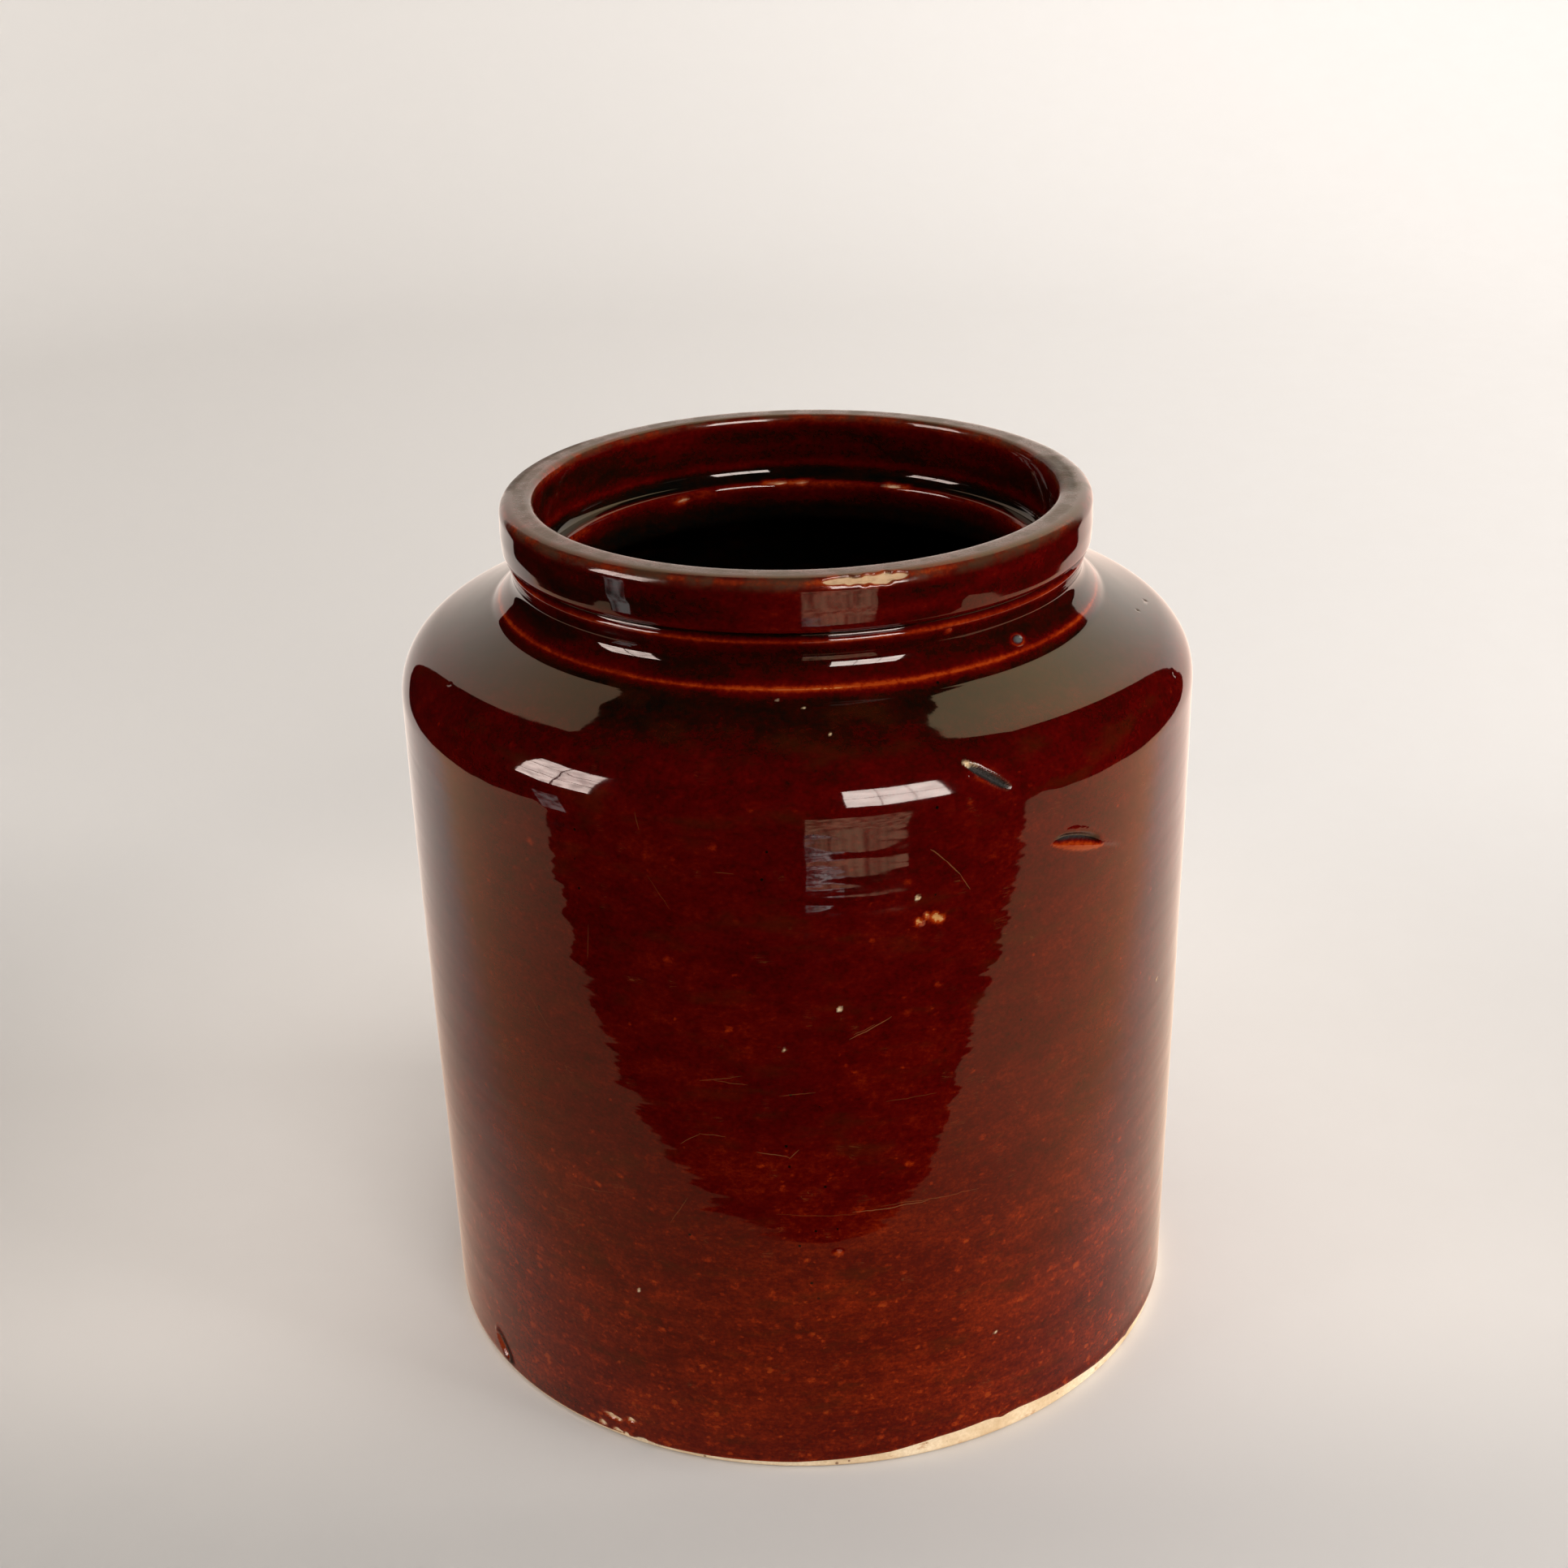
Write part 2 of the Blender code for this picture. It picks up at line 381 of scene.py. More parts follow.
    d = bare_distance(phi, s, z)
    foot = (z < 14) & (s < S_RIM)
    h = h + 0.16 * np.exp(-((d - 1.3) / 0.9) ** 2) * foot * smooth(1.6, 3.2, glaze_line(phi))
    deep = COAT + 0.36 + 0.35 * (capsule(RIM_CHIP, phi, s, 3.0) < 2.5) + 0.5 * (capsule(NOTCH, phi, s, 1.6) < 0)
    h = h * smooth(-0.3, 0.8, d) - deep * smooth(0.55, -0.40, d)
    return h - 0.55 * smooth(0.5, -0.4, capsule(NOTCH, phi, s, 0.75, 0.3))


def clay_relief(phi, s, r, z):
    h = 0.03 * around(phi, 40, s / 2.2) + 0.03 * around(phi, 17, s / 9.0)
    d = bare_distance(phi, s, z)
    h = h - 1.35 * smooth(1.0, 2.4, d)      # well under the glaze where it is covered
    chip = smooth(0.5, -1.2, d) * (capsule(RIM_CHIP, phi, s, 3.0) < 2.5)
    a, c = RIM_CHIP.local(phi, s)
    h = h - chip * (0.42 + 0.16 * noise2(a * 0.9, c * 1.2 + 6.0))
    h = h - 0.75 * smooth(0.9, -0.3, capsule(NOTCH, phi, s, 0.9, 0.2))
    for mark in CHIPS:
        h = h - 0.10 * smooth(0.3, -0.5, capsule(mark, phi, s, 0.5, 0.3))
    # Scored and rubbed bare foot.
    h = h + 0.05 * noise2(phi * 0.35, z * 1.4 + 3) * (z < 6) * (s < S_RIM)
    return h


# Depth of colour along the profile: 0 bare, 0.22 orange, 0.5 oxblood, 1 black.
def colour_depth_table():
    # The near-black stops in the cove under the collar, in the undercut under the rim band (63.3, 188.0) and down the
    # inside are partly glaze pooled thick there and partly painted shade.
    stops = [
        (SURF.near(88.2, 0.5), 0.41), (SURF.near(88.3, 12), 0.40), (SURF.near(88.5, 40), 0.415),
        (SURF.near(89.1, 70), 0.475), (SURF.near(89.1, 100), 0.525), (SURF.near(89.1, 140), 0.55),
        (SURF.near(89.1, 156), 0.545),
        (SURF.near(86.5, 165.2), 0.60), (SURF.near(81.0, 170.0), 0.66), (SURF.near(75.0, 172.6), 0.80),
        (SURF.near(70.2, 175.0), 0.86), (SURF.near(68.2, 176.1), 0.80), (SURF.near(67.15, 176.8), 0.62),
        (SURF.near(66.75, 177.15), 0.44), (SURF.near(66.45, 177.45), 0.22), (SURF.near(66.15, 177.8), 0.34),
        (SURF.near(65.85, 178.15), 0.54), (SURF.near(65.4, 178.6), 0.66), (SURF.near(64.4, 179.9), 0.72),
        (SURF.near(63.2, 181.4), 0.78), (SURF.near(63.4, 184.2), 0.68), (SURF.near(63.8, 185.6), 0.56),
        (SURF.near(64.05, 186.5), 0.28), (SURF.near(63.8, 187.1), 0.50), (SURF.near(63.3, 188.0), 0.92),
        (SURF.near(64.6, 188.5), 0.70), (SURF.near(65.0, 189.2), 0.46), (SURF.near(65.2, 190.0), 0.56),
        (SURF.near(65.3, 191.5), 0.60), (SURF.near(65.4, 194.5), 0.61), (SURF.near(65.1, 197.2), 0.58),
        (SURF.near(64.85, 198.3), 0.50), (SURF.near(64.5, 198.9), 0.30), (SURF.near(64.1, 199.35), 0.33),
        (SURF.near(63.7, 199.6), 0.48),
        (SURF.near(63.0, 199.9), 0.52), (SURF.near(60.5, 200.0), 0.62), (SURF.near(58.6, 199.9), 0.50),
        (SURF.near(57.9, 199.3), 0.30), (SURF.near(57.6, 198.2), 0.40), (SURF.near(57.5, 196.8), 0.60),
        (SURF.near(57.4, 195.0), 0.72), (SURF.near(57.3, 190.0), 0.76), (SURF.near(57.1, 188.0), 0.52),
        (SURF.near(56.8, 186.9), 0.80), (SURF.near(56.2, 185.6), 0.96), (SURF.near(55.2, 184.7), 0.95),
        (SURF.near(54.7, 184.4), 0.60), (SURF.near(54.2, 184.0), 0.42), (SURF.near(53.8, 182.8), 0.42),
        (SURF.near(53.8, 181.0), 0.66), (SURF.near(53.9, 178.0), 0.93),
        (SURF.near(60.0, 171.0, lo=S_LIP), 0.97), (SURF.length - 40, 0.95), (SURF.length, 0.93),
    ]
    stops.sort()
    return np.array(stops)


DEPTH = colour_depth_table()


def colour_depth(phi, s, r, z):
    t = np.interp(s, DEPTH[:, 0], DEPTH[:, 1])
    wall = smooth(168, 158, z) * (s < S_RIM)
    neck = (s > SURF.near(68.5, 175.5)) & (s < S_RIM + 25)
    t = t + np.where(neck, 0.10 * around(phi, 17, s / 3.0) + 0.05 * around(phi, 61, s / 1.2), 0.0)
    band = smooth(189.5, 191.0, z) * smooth(198.2, 196.8, z) * (s < S_RIM)
    t = t + 0.13 * band * smooth(40.0, 10.0, np.abs(turn_angle(phi, -48.0)))
    t = t + wall * (0.020 * around(phi, 13, z / 12.0) + 0.012 * around(phi, 40, z / 4.0))
    # Thin, orange glaze over raised places and next to bare ones.
    a, c = SLIT.local(phi, s)
    t = t - 0.20 * smooth(3.3, 0.9, np.hypot(a / 2.2, c)) * (s < S_RIM)
    half = 0.98 * np.sqrt(np.clip(1 - (np.abs(a) / 5.5) ** 2.2, 0, 1))
    inside = smooth(half + 0.15, half - 0.35, np.abs(c)) * (half > 0) * (s < S_RIM)
    # Painted shade: the inside of the slit is coloured near black for the shadow in it, on top of the real depression
    # in the relief.
    t = t * (1 - inside) + 0.93 * inside
    a, c = EYE.local(phi, s)
    body = np.clip(1 - (a / 8.2) ** 2, 0, 1)
    lens = np.clip(1 - (c + 0.45) ** 2 / np.maximum(2.0 * body ** 1.5, 0.05), 0, 1) * (body > 0)
    t = t - 0.29 * smooth(0.0, 0.7, lens)
    # Painted shade: the crescent gap over the lens is coloured near black for the shadow inside it, on top of the real
    # depression in the relief.
    gap = np.exp(-((c - 2.15 * body ** 0.8 * 0.72) / 0.66) ** 2) * smooth(8.3, 5.0, np.abs(a))
    around_eye = np.hypot(a / 9.6, (c - 0.6) / 3.2)
    t = t - 0.06 * smooth(1.25, 0.8, around_eye)
    t = t * (1 - gap) + 0.97 * gap
    tail = np.exp(-((c + 0.2 + 0.05 * (a - 8)) / 0.9) ** 2) * smooth(6.0, 9.0, a) * smooth(16, 11, a)
    t = t - 0.10 * tail
    a, c = BUBBLE.local(phi, s)
    ring = np.exp(-((np.hypot(a / 1.6, c / 1.15) - 1.1) / 0.3) ** 2)
    t = t - 0.36 * ring
    a, c = BUBBLE2.local(phi, s)
    t = t - 0.36 * smooth(1.6, 0.5, np.hypot(a / 0.9, c / 0.7))
    a, c = BLISTER.local(phi, s)
    d = np.hypot(a / 4.2, c / 1.75)
    t = t - 0.19 * smooth(1.10, 0.6, d) + 0.60 * np.exp(-((d - 1.08) / 0.17) ** 2) * smooth(-3.9, 1.0, a + 2 * c)
    a, c = LUMP.local(phi, s)
    t = t - 0.25 * smooth(1.5, 0.5, np.hypot(a / 1.1, c / 0.8))
    for mark in GOLD:
        t = np.minimum(t, 0.085 + 0.95 * smooth(-0.50, 1.7, capsule(mark, phi, s, 0.95 if mark is GOLD[0] else 0.6, 0.4, 1.6)))
    # The edge of the glaze: a thin line of orange, then bare.
    d = bare_distance(phi, s, z)
    edge = np.interp(d, [-0.2, 0.1, 0.45, 1.0, 1.9], [0.02, 0.13, 0.25, 0.40, 1.0])
    t = np.minimum(t, edge)
    t = np.maximum(t, 0.97 * smooth(0.3, -0.2, capsule(NOTCH, phi, s, 0.75, 0.3)))
    # The rubbed places of the rim.
    for phi0, half, s0, w in ((-110.0, 19.0, S_EDGE_L, 1.2), (93.5, 14.0, S_EDGE_R, 1.9)):
        rub = smooth(half + 5, half - 4, np.abs(turn_angle(phi, phi0))) * smooth(w + 0.8, w - 0.5, np.abs(s - s0))
        t = t + 0.30 * rub * (0.6 + 0.6 * noise2(phi * 0.9, s * 1.3))
    return np.clip(t, 0.0, 1.0)


def worn(phi, s, r, z):
    """0 glossy to 1 rough."""
    w = 0.0 * phi
    for phi0, half, s0, wd in ((-110.0, 19.0, S_EDGE_L, 1.2), (93.5, 14.0, S_EDGE_R, 1.9)):
        rub = smooth(half + 5, half - 4, np.abs(turn_angle(phi, phi0))) * smooth(wd + 0.8, wd - 0.5, np.abs(s - s0))
        w = np.maximum(w, rub)
    w = np.maximum(w, 0.45 * smooth(2.2, 0.8, np.abs(s - SURF.near(60.8, 200.0))))
    a, c = SLIT.local(phi, s)
    half = 0.98 * np.sqrt(np.clip(1 - (np.abs(a) / 5.5) ** 2.2, 0, 1))
    w = np.maximum(w, 1.6 * smooth(half + 0.1, half - 0.5, np.abs(c)) * (half > 0))
    w = np.maximum(w, smooth(0.3, -0.2, bare_distance(phi, s, z)))
    return w


def grey(phi, s, r, z):
    """Ash-grey film: in the slit, on the brow of the blister, in a few dots."""
    g = 0.0 * phi
    a, c = SLIT.local(phi, s)
    half = 0.98 * np.sqrt(np.clip(1 - (np.abs(a) / 5.5) ** 2.2, 0, 1))
    g = np.maximum(g, 0.12 * smooth(half + 0.05, half - 0.45, np.abs(c)) * (half > 0))
    a, c = EYE.local(phi, s)
    body = np.clip(1 - (a / 8.2) ** 2, 0, 1)
    brow = np.exp(-((c - 2.15 * body ** 0.8 * 0.72 + 0.1) / 0.35) ** 2) * smooth(7.0, 4.5, np.abs(a)) * smooth(6.5, -1.0, a)
    g = np.maximum(g, 0.35 * brow)
    tail = np.exp(-((c + 0.15 + 0.05 * (a - 8)) / 0.35) ** 2) * smooth(7.0, 9.0, a) * smooth(15.5, 11, a)
    g = np.maximum(g, 0.28 * tail)
    a, c = BUBBLE.local(phi, s)
    g = np.maximum(g, 0.9 * smooth(1.05, 0.6, np.hypot(a / 1.35, c / 0.95)))
    return np.clip(g, 0, 1)


def cream(phi, s, r, z):
    """Bare cream clay showing through: dots, chip edges, the slit's tip."""
    m = smooth(0.25, -0.15, bare_distance(phi, s, z))
    for p0, z0, size in DOTS:
        sp = np.interp(z0, SURF.z0[SURF.s < S_RIM], SURF.s[SURF.s < S_RIM])
        d = np.hypot(turn_angle(phi, p0) * 1.55, s - sp) + 0.12 * noise2(phi * 2.1, s * 2.3)
        m = np.maximum(m, smooth(size + 0.15, size - 0.25, d))
    a, c = SLIT.local(phi, s)
    half = 0.98 * np.sqrt(np.clip(1 - (np.abs(a) / 5.5) ** 2.2, 0, 1))
    line = np.exp(-((np.abs(c) - half - 0.08) / 0.17) ** 2) * (half > 0) * smooth(-0.5, 0.5, noise2(a * 0.9 + 3, np.sign(c) * 3.0) + 0.15)
    m = np.maximum(m, line * (0.03 + 0.45 * (c > 0) * smooth(0.5, -3.0, a)))
    m = np.maximum(m, smooth(1.0, 0.3, np.hypot((a + 5.2) * 0.8, (c - 0.25) * 1.5)))
    return np.clip(m, 0, 1)


def warp(p):
    """The jar isn't quite true: the neck leans to one side and the rim to the
    back. p is in mm."""
    x, y, z = p[:, 0].copy(), p[:, 1].copy(), p[:, 2].copy()
    k = smooth(151.0, 176.0, z)
    out = p.copy()
    out[:, 0] = x + 0.7 * k * np.clip(1 - (np.hypot(x, y) - 66) / 30.0, 0, 1)
    out[:, 2] = z - smooth(150.0, 186.0, z) * (0.5 + 0.5 * y / 65.0) * 1.0
    return out


# ---------------------------------------------------------------- mesh making
COLUMNS = 192
KC, KR = 6, 3


def turned_mesh(name, sections, relief_fn, refine_fn, attributes):
    """A closed solid of revolution from sections [(line, rows, shown)] that
    start and end on the axis, with finer cells where refine_fn says so."""
    line_of, s_of, shown_of = [], [], []
    for line, rows, shown in sections:
        for s in rows:
            line_of.append(line)
            s_of.append(float(s))
            shown_of.append(shown)
    n = len(s_of)
    s_of = np.array(s_of)
    shown_of = np.array(shown_of, float)
    C = COLUMNS
    phis = np.arange(C) / C * 360.0 - 180.0
    refined = np.zeros((n - 1, C), bool)
    for i in range(n - 1):
        if shown_of[i] and shown_of[i + 1]:
            sm = (s_of[i] + s_of[i + 1]) / 2
            r, z, _, _ = line_of[i].at(sm)
            refined[i] = refine_fn(phis + 180.0 / C, np.full(C, sm), np.full(C, r), np.full(C, z))
    GI, GJ = (n - 1) * KR + 1, C * KC
    used = np.zeros((GI, GJ), bool)
    used[::KR, ::KC] = True
    cells = np.argwhere(refined)
    for i, j in cells:
        cols = np.arange(j * KC, (j + 1) * KC + 1) % GJ
        used[i * KR:(i + 1) * KR + 1, cols] = True
    index = np.cumsum(used.ravel()).reshape(GI, GJ) - 1
    gi, gj = np.nonzero(used)
    fi = gi / KR
    base = np.minimum(fi.astype(int), n - 2)
    frac = fi - base
    s = s_of[base] * (1 - frac) + s_of[np.minimum(base + 1, n - 1)] * frac
    whole = frac < 1e-9
    s = np.where(whole, s_of[base], s)
    last = gi == GI - 1
    s[last] = s_of[-1]
    phi = gj / GJ * 360.0 - 180.0
    row_id = np.where(last, n - 1, base)
    r = np.zeros(len(gi)); z = r.copy(); nr = r.copy(); nz = r.copy()
    start = 0
    for line, rows, shown in sections:
        m = (row_id >= start) & (row_id < start + len(rows))
        r[m], z[m], nr[m], nz[m] = line.at(s[m])
        start += len(rows)
    shown = shown_of[row_id] > 0
    h = np.zeros(len(gi))
    h[shown] = relief_fn(phi[shown], s[shown], r[shown], z[shown])
    h *= np.clip(r / 8.0, 0, 1)
    a = np.radians(phi)
    rr = np.maximum(r + nr * h, 0.0)
    p = np.stack([rr * np.sin(a), -rr * np.cos(a), z + nz * h], 1)
    # Poles: the first and last rows are short rings closed by a fan.
    extra, fans = [], []
    for row, s_end in ((0, s_of[0]), (GI - 1, s_of[-1])):
        ring = index[row, ::KC]
        centre = p[ring].mean(0)
        fans.append((row, len(p) + len(extra)))
        extra.append(centre)
    p_all = warp(np.vstack([p, np.array(extra)]))

    faces = []
    i0, j0 = np.nonzero(~refined)
    has_mid = np.zeros(len(i0), bool)
    up = np.vstack([refined[1:], np.zeros((1, C), bool)])
    dn = np.vstack([np.zeros((1, C), bool), refined[:-1]])
    lf = np.roll(refined, 1, axis=1)
    rt = np.roll(refined, -1, axis=1)
    near_ref = up | dn | lf | rt
    diag = (np.roll(up, 1, 1) | np.roll(up, -1, 1) | np.roll(dn, 1, 1) | np.roll(dn, -1, 1))
    plain = ~refined & ~near_ref & ~diag
    i0, j0 = np.nonzero(plain)
    quads = np.stack([index[i0 * KR, j0 * KC], index[i0 * KR, (j0 * KC + KC) % GJ],
                      index[i0 * KR + KR, (j0 * KC + KC) % GJ], index[i0 * KR + KR, j0 * KC]], 1)
    faces.extend(map(tuple, quads.tolist()))
    for i, j in np.argwhere(~refined & ~plain):
        loop = []
        a0, b0 = i * KR, j * KC
        for b in range(b0, b0 + KC):
            if used[a0, b % GJ]:
                loop.append(int(index[a0, b % GJ]))
        for a_ in range(a0, a0 + KR):
            if used[a_, (b0 + KC) % GJ]:
                loop.append(int(index[a_, (b0 + KC) % GJ]))
        for b in range(b0 + KC, b0, -1):
            if used[a0 + KR, b % GJ]:
                loop.append(int(index[a0 + KR, b % GJ]))
        for a_ in range(a0 + KR, a0, -1):
            if used[a_, b0 % GJ]:
                loop.append(int(index[a_, b0 % GJ]))
        faces.append(tuple(loop))
    for i, j in cells:
        for a_ in range(KR):
            for b in range(KC):
                x0, x1 = (j * KC + b) % GJ, (j * KC + b + 1) % GJ
                y0, y1 = i * KR + a_, i * KR + a_ + 1
                faces.append((int(index[y0, x0]), int(index[y0, x1]), int(index[y1, x1]), int(index[y1, x0])))
    for k, (row, centre) in enumerate(fans):
        ring = [int(v) for v in index[row, ::KC]]
        for q in range(C):
            v0, v1 = ring[q], ring[(q + 1) % C]
            faces.append((centre, v1, v0) if k == 0 else (v0, v1, centre))

    mesh = bpy.data.meshes.new(name)
    mesh.from_pydata((p_all * MM).tolist(), [], faces)
    mesh.validate()
    for key, fn in attributes.items():
        values = np.zeros(len(p_all))
        part = np.zeros(len(p))
        part[shown] = fn(phi[shown], s[shown], r[shown], z[shown])
        values[:len(p)] = part
        values[len(p):] = part[-1]
        made = mesh.attributes.new(key, "FLOAT", "POINT")
        made.data.foreach_set("value", values.astype(np.float32))
    mesh.shade_smooth()
    obj = bpy.data.objects.new(name, mesh)
    bpy.context.scene.collection.objects.link(obj)
    return obj


def glaze_spacing(r, z, s):
    if s < S_RIM:
        if z < 155:
            return 1.50 if z > 8 else 0.9
        if z < 175:
            return 1.0
        if z < 189.6:
            return 0.34
        return 0.75 if z < 197 else 0.42
    if z > 197.5:
        return 0.42
    if z > 188.5 and r > 56:
        return 0.8
    if z > 180:
        return 0.42
    if z > 172:
        return 1.2
    if z > 150:
        return 2.6
    return 4.5


def clay_spacing(r, z, s):
    if s < S_RIM:
        if z < 8:
            return 0.7
        if z < 155:
            return 4.0
        if z < 175:
            return 1.4
        return 0.5
    if z > 175:
        return 0.5
    return 4.0


def refine_glaze(phi, s, r, z):
    m = np.zeros(len(phi), bool)
    if s[0] < S_RIM:
        for mark, margin in ((SLIT, 3.2), (EYE, 3.6), (BUBBLE, 2.6), (BUBBLE2, 2.0), (BLISTER, 3.2), (LUMP, 1.8)):
            m |= mark.near(phi, s, margin)
        a, c = EYE.local(phi, s)
        m |= (a > 0) & (a < 15.5) & (np.abs(c + 0.8) < 1.6)
        for mark in GOLD + CHIPS + [NOTCH]:
            m |= mark.near(phi, s, 1.6)
        if z[0] < 9:
            zl = glaze_line(phi)
            m |= (np.abs(z - zl) < 1.6) & (np.abs(turn_angle(phi, 12.0)) < 62)
        for p0, z0, size in DOTS + PITS:
            m |= (np.abs(turn_angle(phi, p0)) < 1.3) & (np.abs(z - z0) < 1.3)
    m |= (np.abs(turn_angle(phi, 14.7)) < 11) & (np.abs(s - S_RIMCHIP) < 3.0)
    return m


def refine_clay(phi, s, r, z):
    m = (np.abs(turn_angle(phi, 14.7)) < 11) & (np.abs(s - S_RIMCHIP) < 3.0)
    if s[0] < S_RIM and z[0] < 8:
        m |= (np.abs(turn_angle(phi, -29.0)) < 7) | ((z < 5) & (np.abs(turn_angle(phi, 30.0)) < 32))
    return m


HIDDEN = Line(rounded(hidden_corners(), 20.0))
hidden_rows = HIDDEN.rows(lambda r, z, s: 6.0 if z < 150 else 2.5, start=6.0)
glaze_rows = SURF.rows(glaze_spacing, start=0.95, end=SURF.length - 5.0)

glaze = turned_mesh(
    "crock_glaze",
    [(HIDDEN, hidden_rows, False), (SURF, glaze_rows, True)],
    relief, refine_glaze,
    {"depth": colour_depth, "worn": worn, "ash": grey, "cream": cream},
)

CLAY = Line(rounded(surface_corners()), inset=SKIN + COAT)
FOOT = Line([(0.0, 0.0), (86.6, 0.0), (86.95, 0.08), (87.3, 0.28), (87.52, 0.6)], soften=0.1)
clay_rows = CLAY.rows(clay_spacing, start=0.95, end=CLAY.length - 5.0)
foot_rows = np.concatenate([np.linspace(5.0, 85.0, 9), [86.3, 86.6, 86.95, 87.3, FOOT.length]])
clay = turned_mesh(
    "crock_clay",
    [(FOOT, foot_rows, False), (CLAY, clay_rows, True)],
    clay_relief, refine_clay,
    {"exposed": lambda phi, s, r, z: smooth(0.3, -0.6, bare_distance(phi, s, z))},
)


# ---------------------------------------------------------------- materials
class Nodes:
    """Small helper to wire a material's nodes."""

    def __init__(self, tree):
        self.tree = tree
        self.links = tree.links

    def new(self, kind, **settings):
        node = self.tree.nodes.new(kind)
        for key, value in settings.items():
            setattr(node, key, value)
        return node

    def put(self, socket, value):
        if isinstance(value, bpy.types.NodeSocket):
            self.links.new(value, socket)
        elif value is not None:
            socket.default_value = value

    def math(self, op, a, b=None, c=None, clamp=False):
        node = self.new("ShaderNodeMath", operation=op, use_clamp=clamp)
        for i, v in enumerate((a, b, c)):
            if v is not None:
                self.put(node.inputs[i], v)
        return node.outputs[0]

    def vec(self, op, a, b=None, out=0):
        node = self.new("ShaderNodeVectorMath", operation=op)
        self.put(node.inputs[0], a)
        if b is not None:
            self.put(node.inputs["Scale" if op == "SCALE" else 1], b)
        return node.outputs[out]

    def noise(self, vector, scale, detail=3.0, rough=0.5, distort=0.0):
        node = self.new("ShaderNodeTexNoise")
        self.put(node.inputs["Vector"], vector)
        node.inputs["Scale"].default_value = scale
        node.inputs["Detail"].default_value = detail
        node.inputs["Roughness"].default_value = rough
        node.inputs["Distortion"].default_value = distort
        return node.outputs["Fac"]

    def voronoi(self, vector, scale, feature="F1", randomness=1.0):
        node = self.new("ShaderNodeTexVoronoi", feature=feature)
        self.put(node.inputs["Vector"], vector)
        node.inputs["Scale"].default_value = scale
        node.inputs["Randomness"].default_value = randomness
        return node

    def span(self, value, a, b, lo=0.0, hi=1.0, smoothed=True):
        node = self.new("ShaderNodeMapRange", interpolation_type="SMOOTHSTEP" if smoothed else "LINEAR")
        self.put(node.inputs["Value"], value)
        node.inputs["From Min"].default_value = a
        node.inputs["From Max"].default_value = b
        node.inputs["To Min"].default_value = lo
        node.inputs["To Max"].default_value = hi
        return node.outputs["Result"]

    def ramp(self, value, stops, interpolation="LINEAR"):
        node = self.new("ShaderNodeValToRGB")
        node.color_ramp.interpolation = interpolation
        elements = node.color_ramp.elements
        while len(elements) > 1:
            elements.remove(elements[-1])
        elements[0].position, elements[0].color = stops[0][0], (*stops[0][1], 1.0)
        for place, colour in stops[1:]:
            made = elements.new(place)
            made.color = (*colour, 1.0)
        self.put(node.inputs[0], value)
        return node.outputs[0]

    def mix(self, fac, a, b, blend="MIX"):
        node = self.new("ShaderNodeMix", data_type="RGBA", blend_type=blend)
        self.put(node.inputs[0], fac)
        self.put(node.inputs[6], a if isinstance(a, bpy.types.NodeSocket) else (*a, 1.0))
        self.put(node.inputs[7], b if isinstance(b, bpy.types.NodeSocket) else (*b, 1.0))
        return node.outputs[2]

    def attribute(self, name):
        node = self.new("ShaderNodeAttribute", attribute_name=name)
        return node.outputs["Fac"]


def new_material(name):
    material = bpy.data.materials.new(name)
    material.use_nodes = True
    tree = material.node_tree
    shader = tree.nodes["Principled BSDF"]
    return material, Nodes(tree), shader


def scaled(n, vector, x, y, z):
    node = n.new("ShaderNodeMapping")
    n.put(node.inputs["Vector"], vector)
    node.inputs["Scale"].default_value = (x, y, z)
    return node.outputs["Vector"]


def scratch_group():
    """Mask of a scratch: distance from P to the line A-B in metres."""
    tree = bpy.data.node_groups.new("scratch", "ShaderNodeTree")
    for label, kind in (("P", "NodeSocketVector"), ("A", "NodeSocketVector"), ("B", "NodeSocketVector"), ("W", "NodeSocketFloat")):
        tree.interface.new_socket(label, in_out="INPUT", socket_type=kind)
    tree.interface.new_socket("Mask", in_out="OUTPUT", socket_type="NodeSocketFloat")
    n = Nodes(tree)
    given = n.new("NodeGroupInput")
    out = n.new("NodeGroupOutput")
    pa = n.vec("SUBTRACT", given.outputs["P"], given.outputs["A"])
    ba = n.vec("SUBTRACT", given.outputs["B"], given.outputs["A"])
    dot = n.vec("DOT_PRODUCT", pa, ba, out=1)
    bb = n.vec("DOT_PRODUCT", ba, ba, out=1)
    t = n.math("DIVIDE", dot, bb, clamp=True)
    near = n.vec("SCALE", ba, t)
    d = n.vec("LENGTH", n.vec("SUBTRACT", pa, near), out=1)
    taper = n.math("MULTIPLY", n.math("MULTIPLY", t, n.math("SUBTRACT", 1.0, t)), 4.0)
    width = n.math("MULTIPLY", given.outputs["W"], n.math("POWER", n.math("ADD", taper, 0.12), 0.5))
    ratio = n.math("DIVIDE", d, width)
    mask = n.math("SUBTRACT", 1.0, ratio, clamp=True)
    n.links.new(mask, out.inputs["Mask"])
    return tree


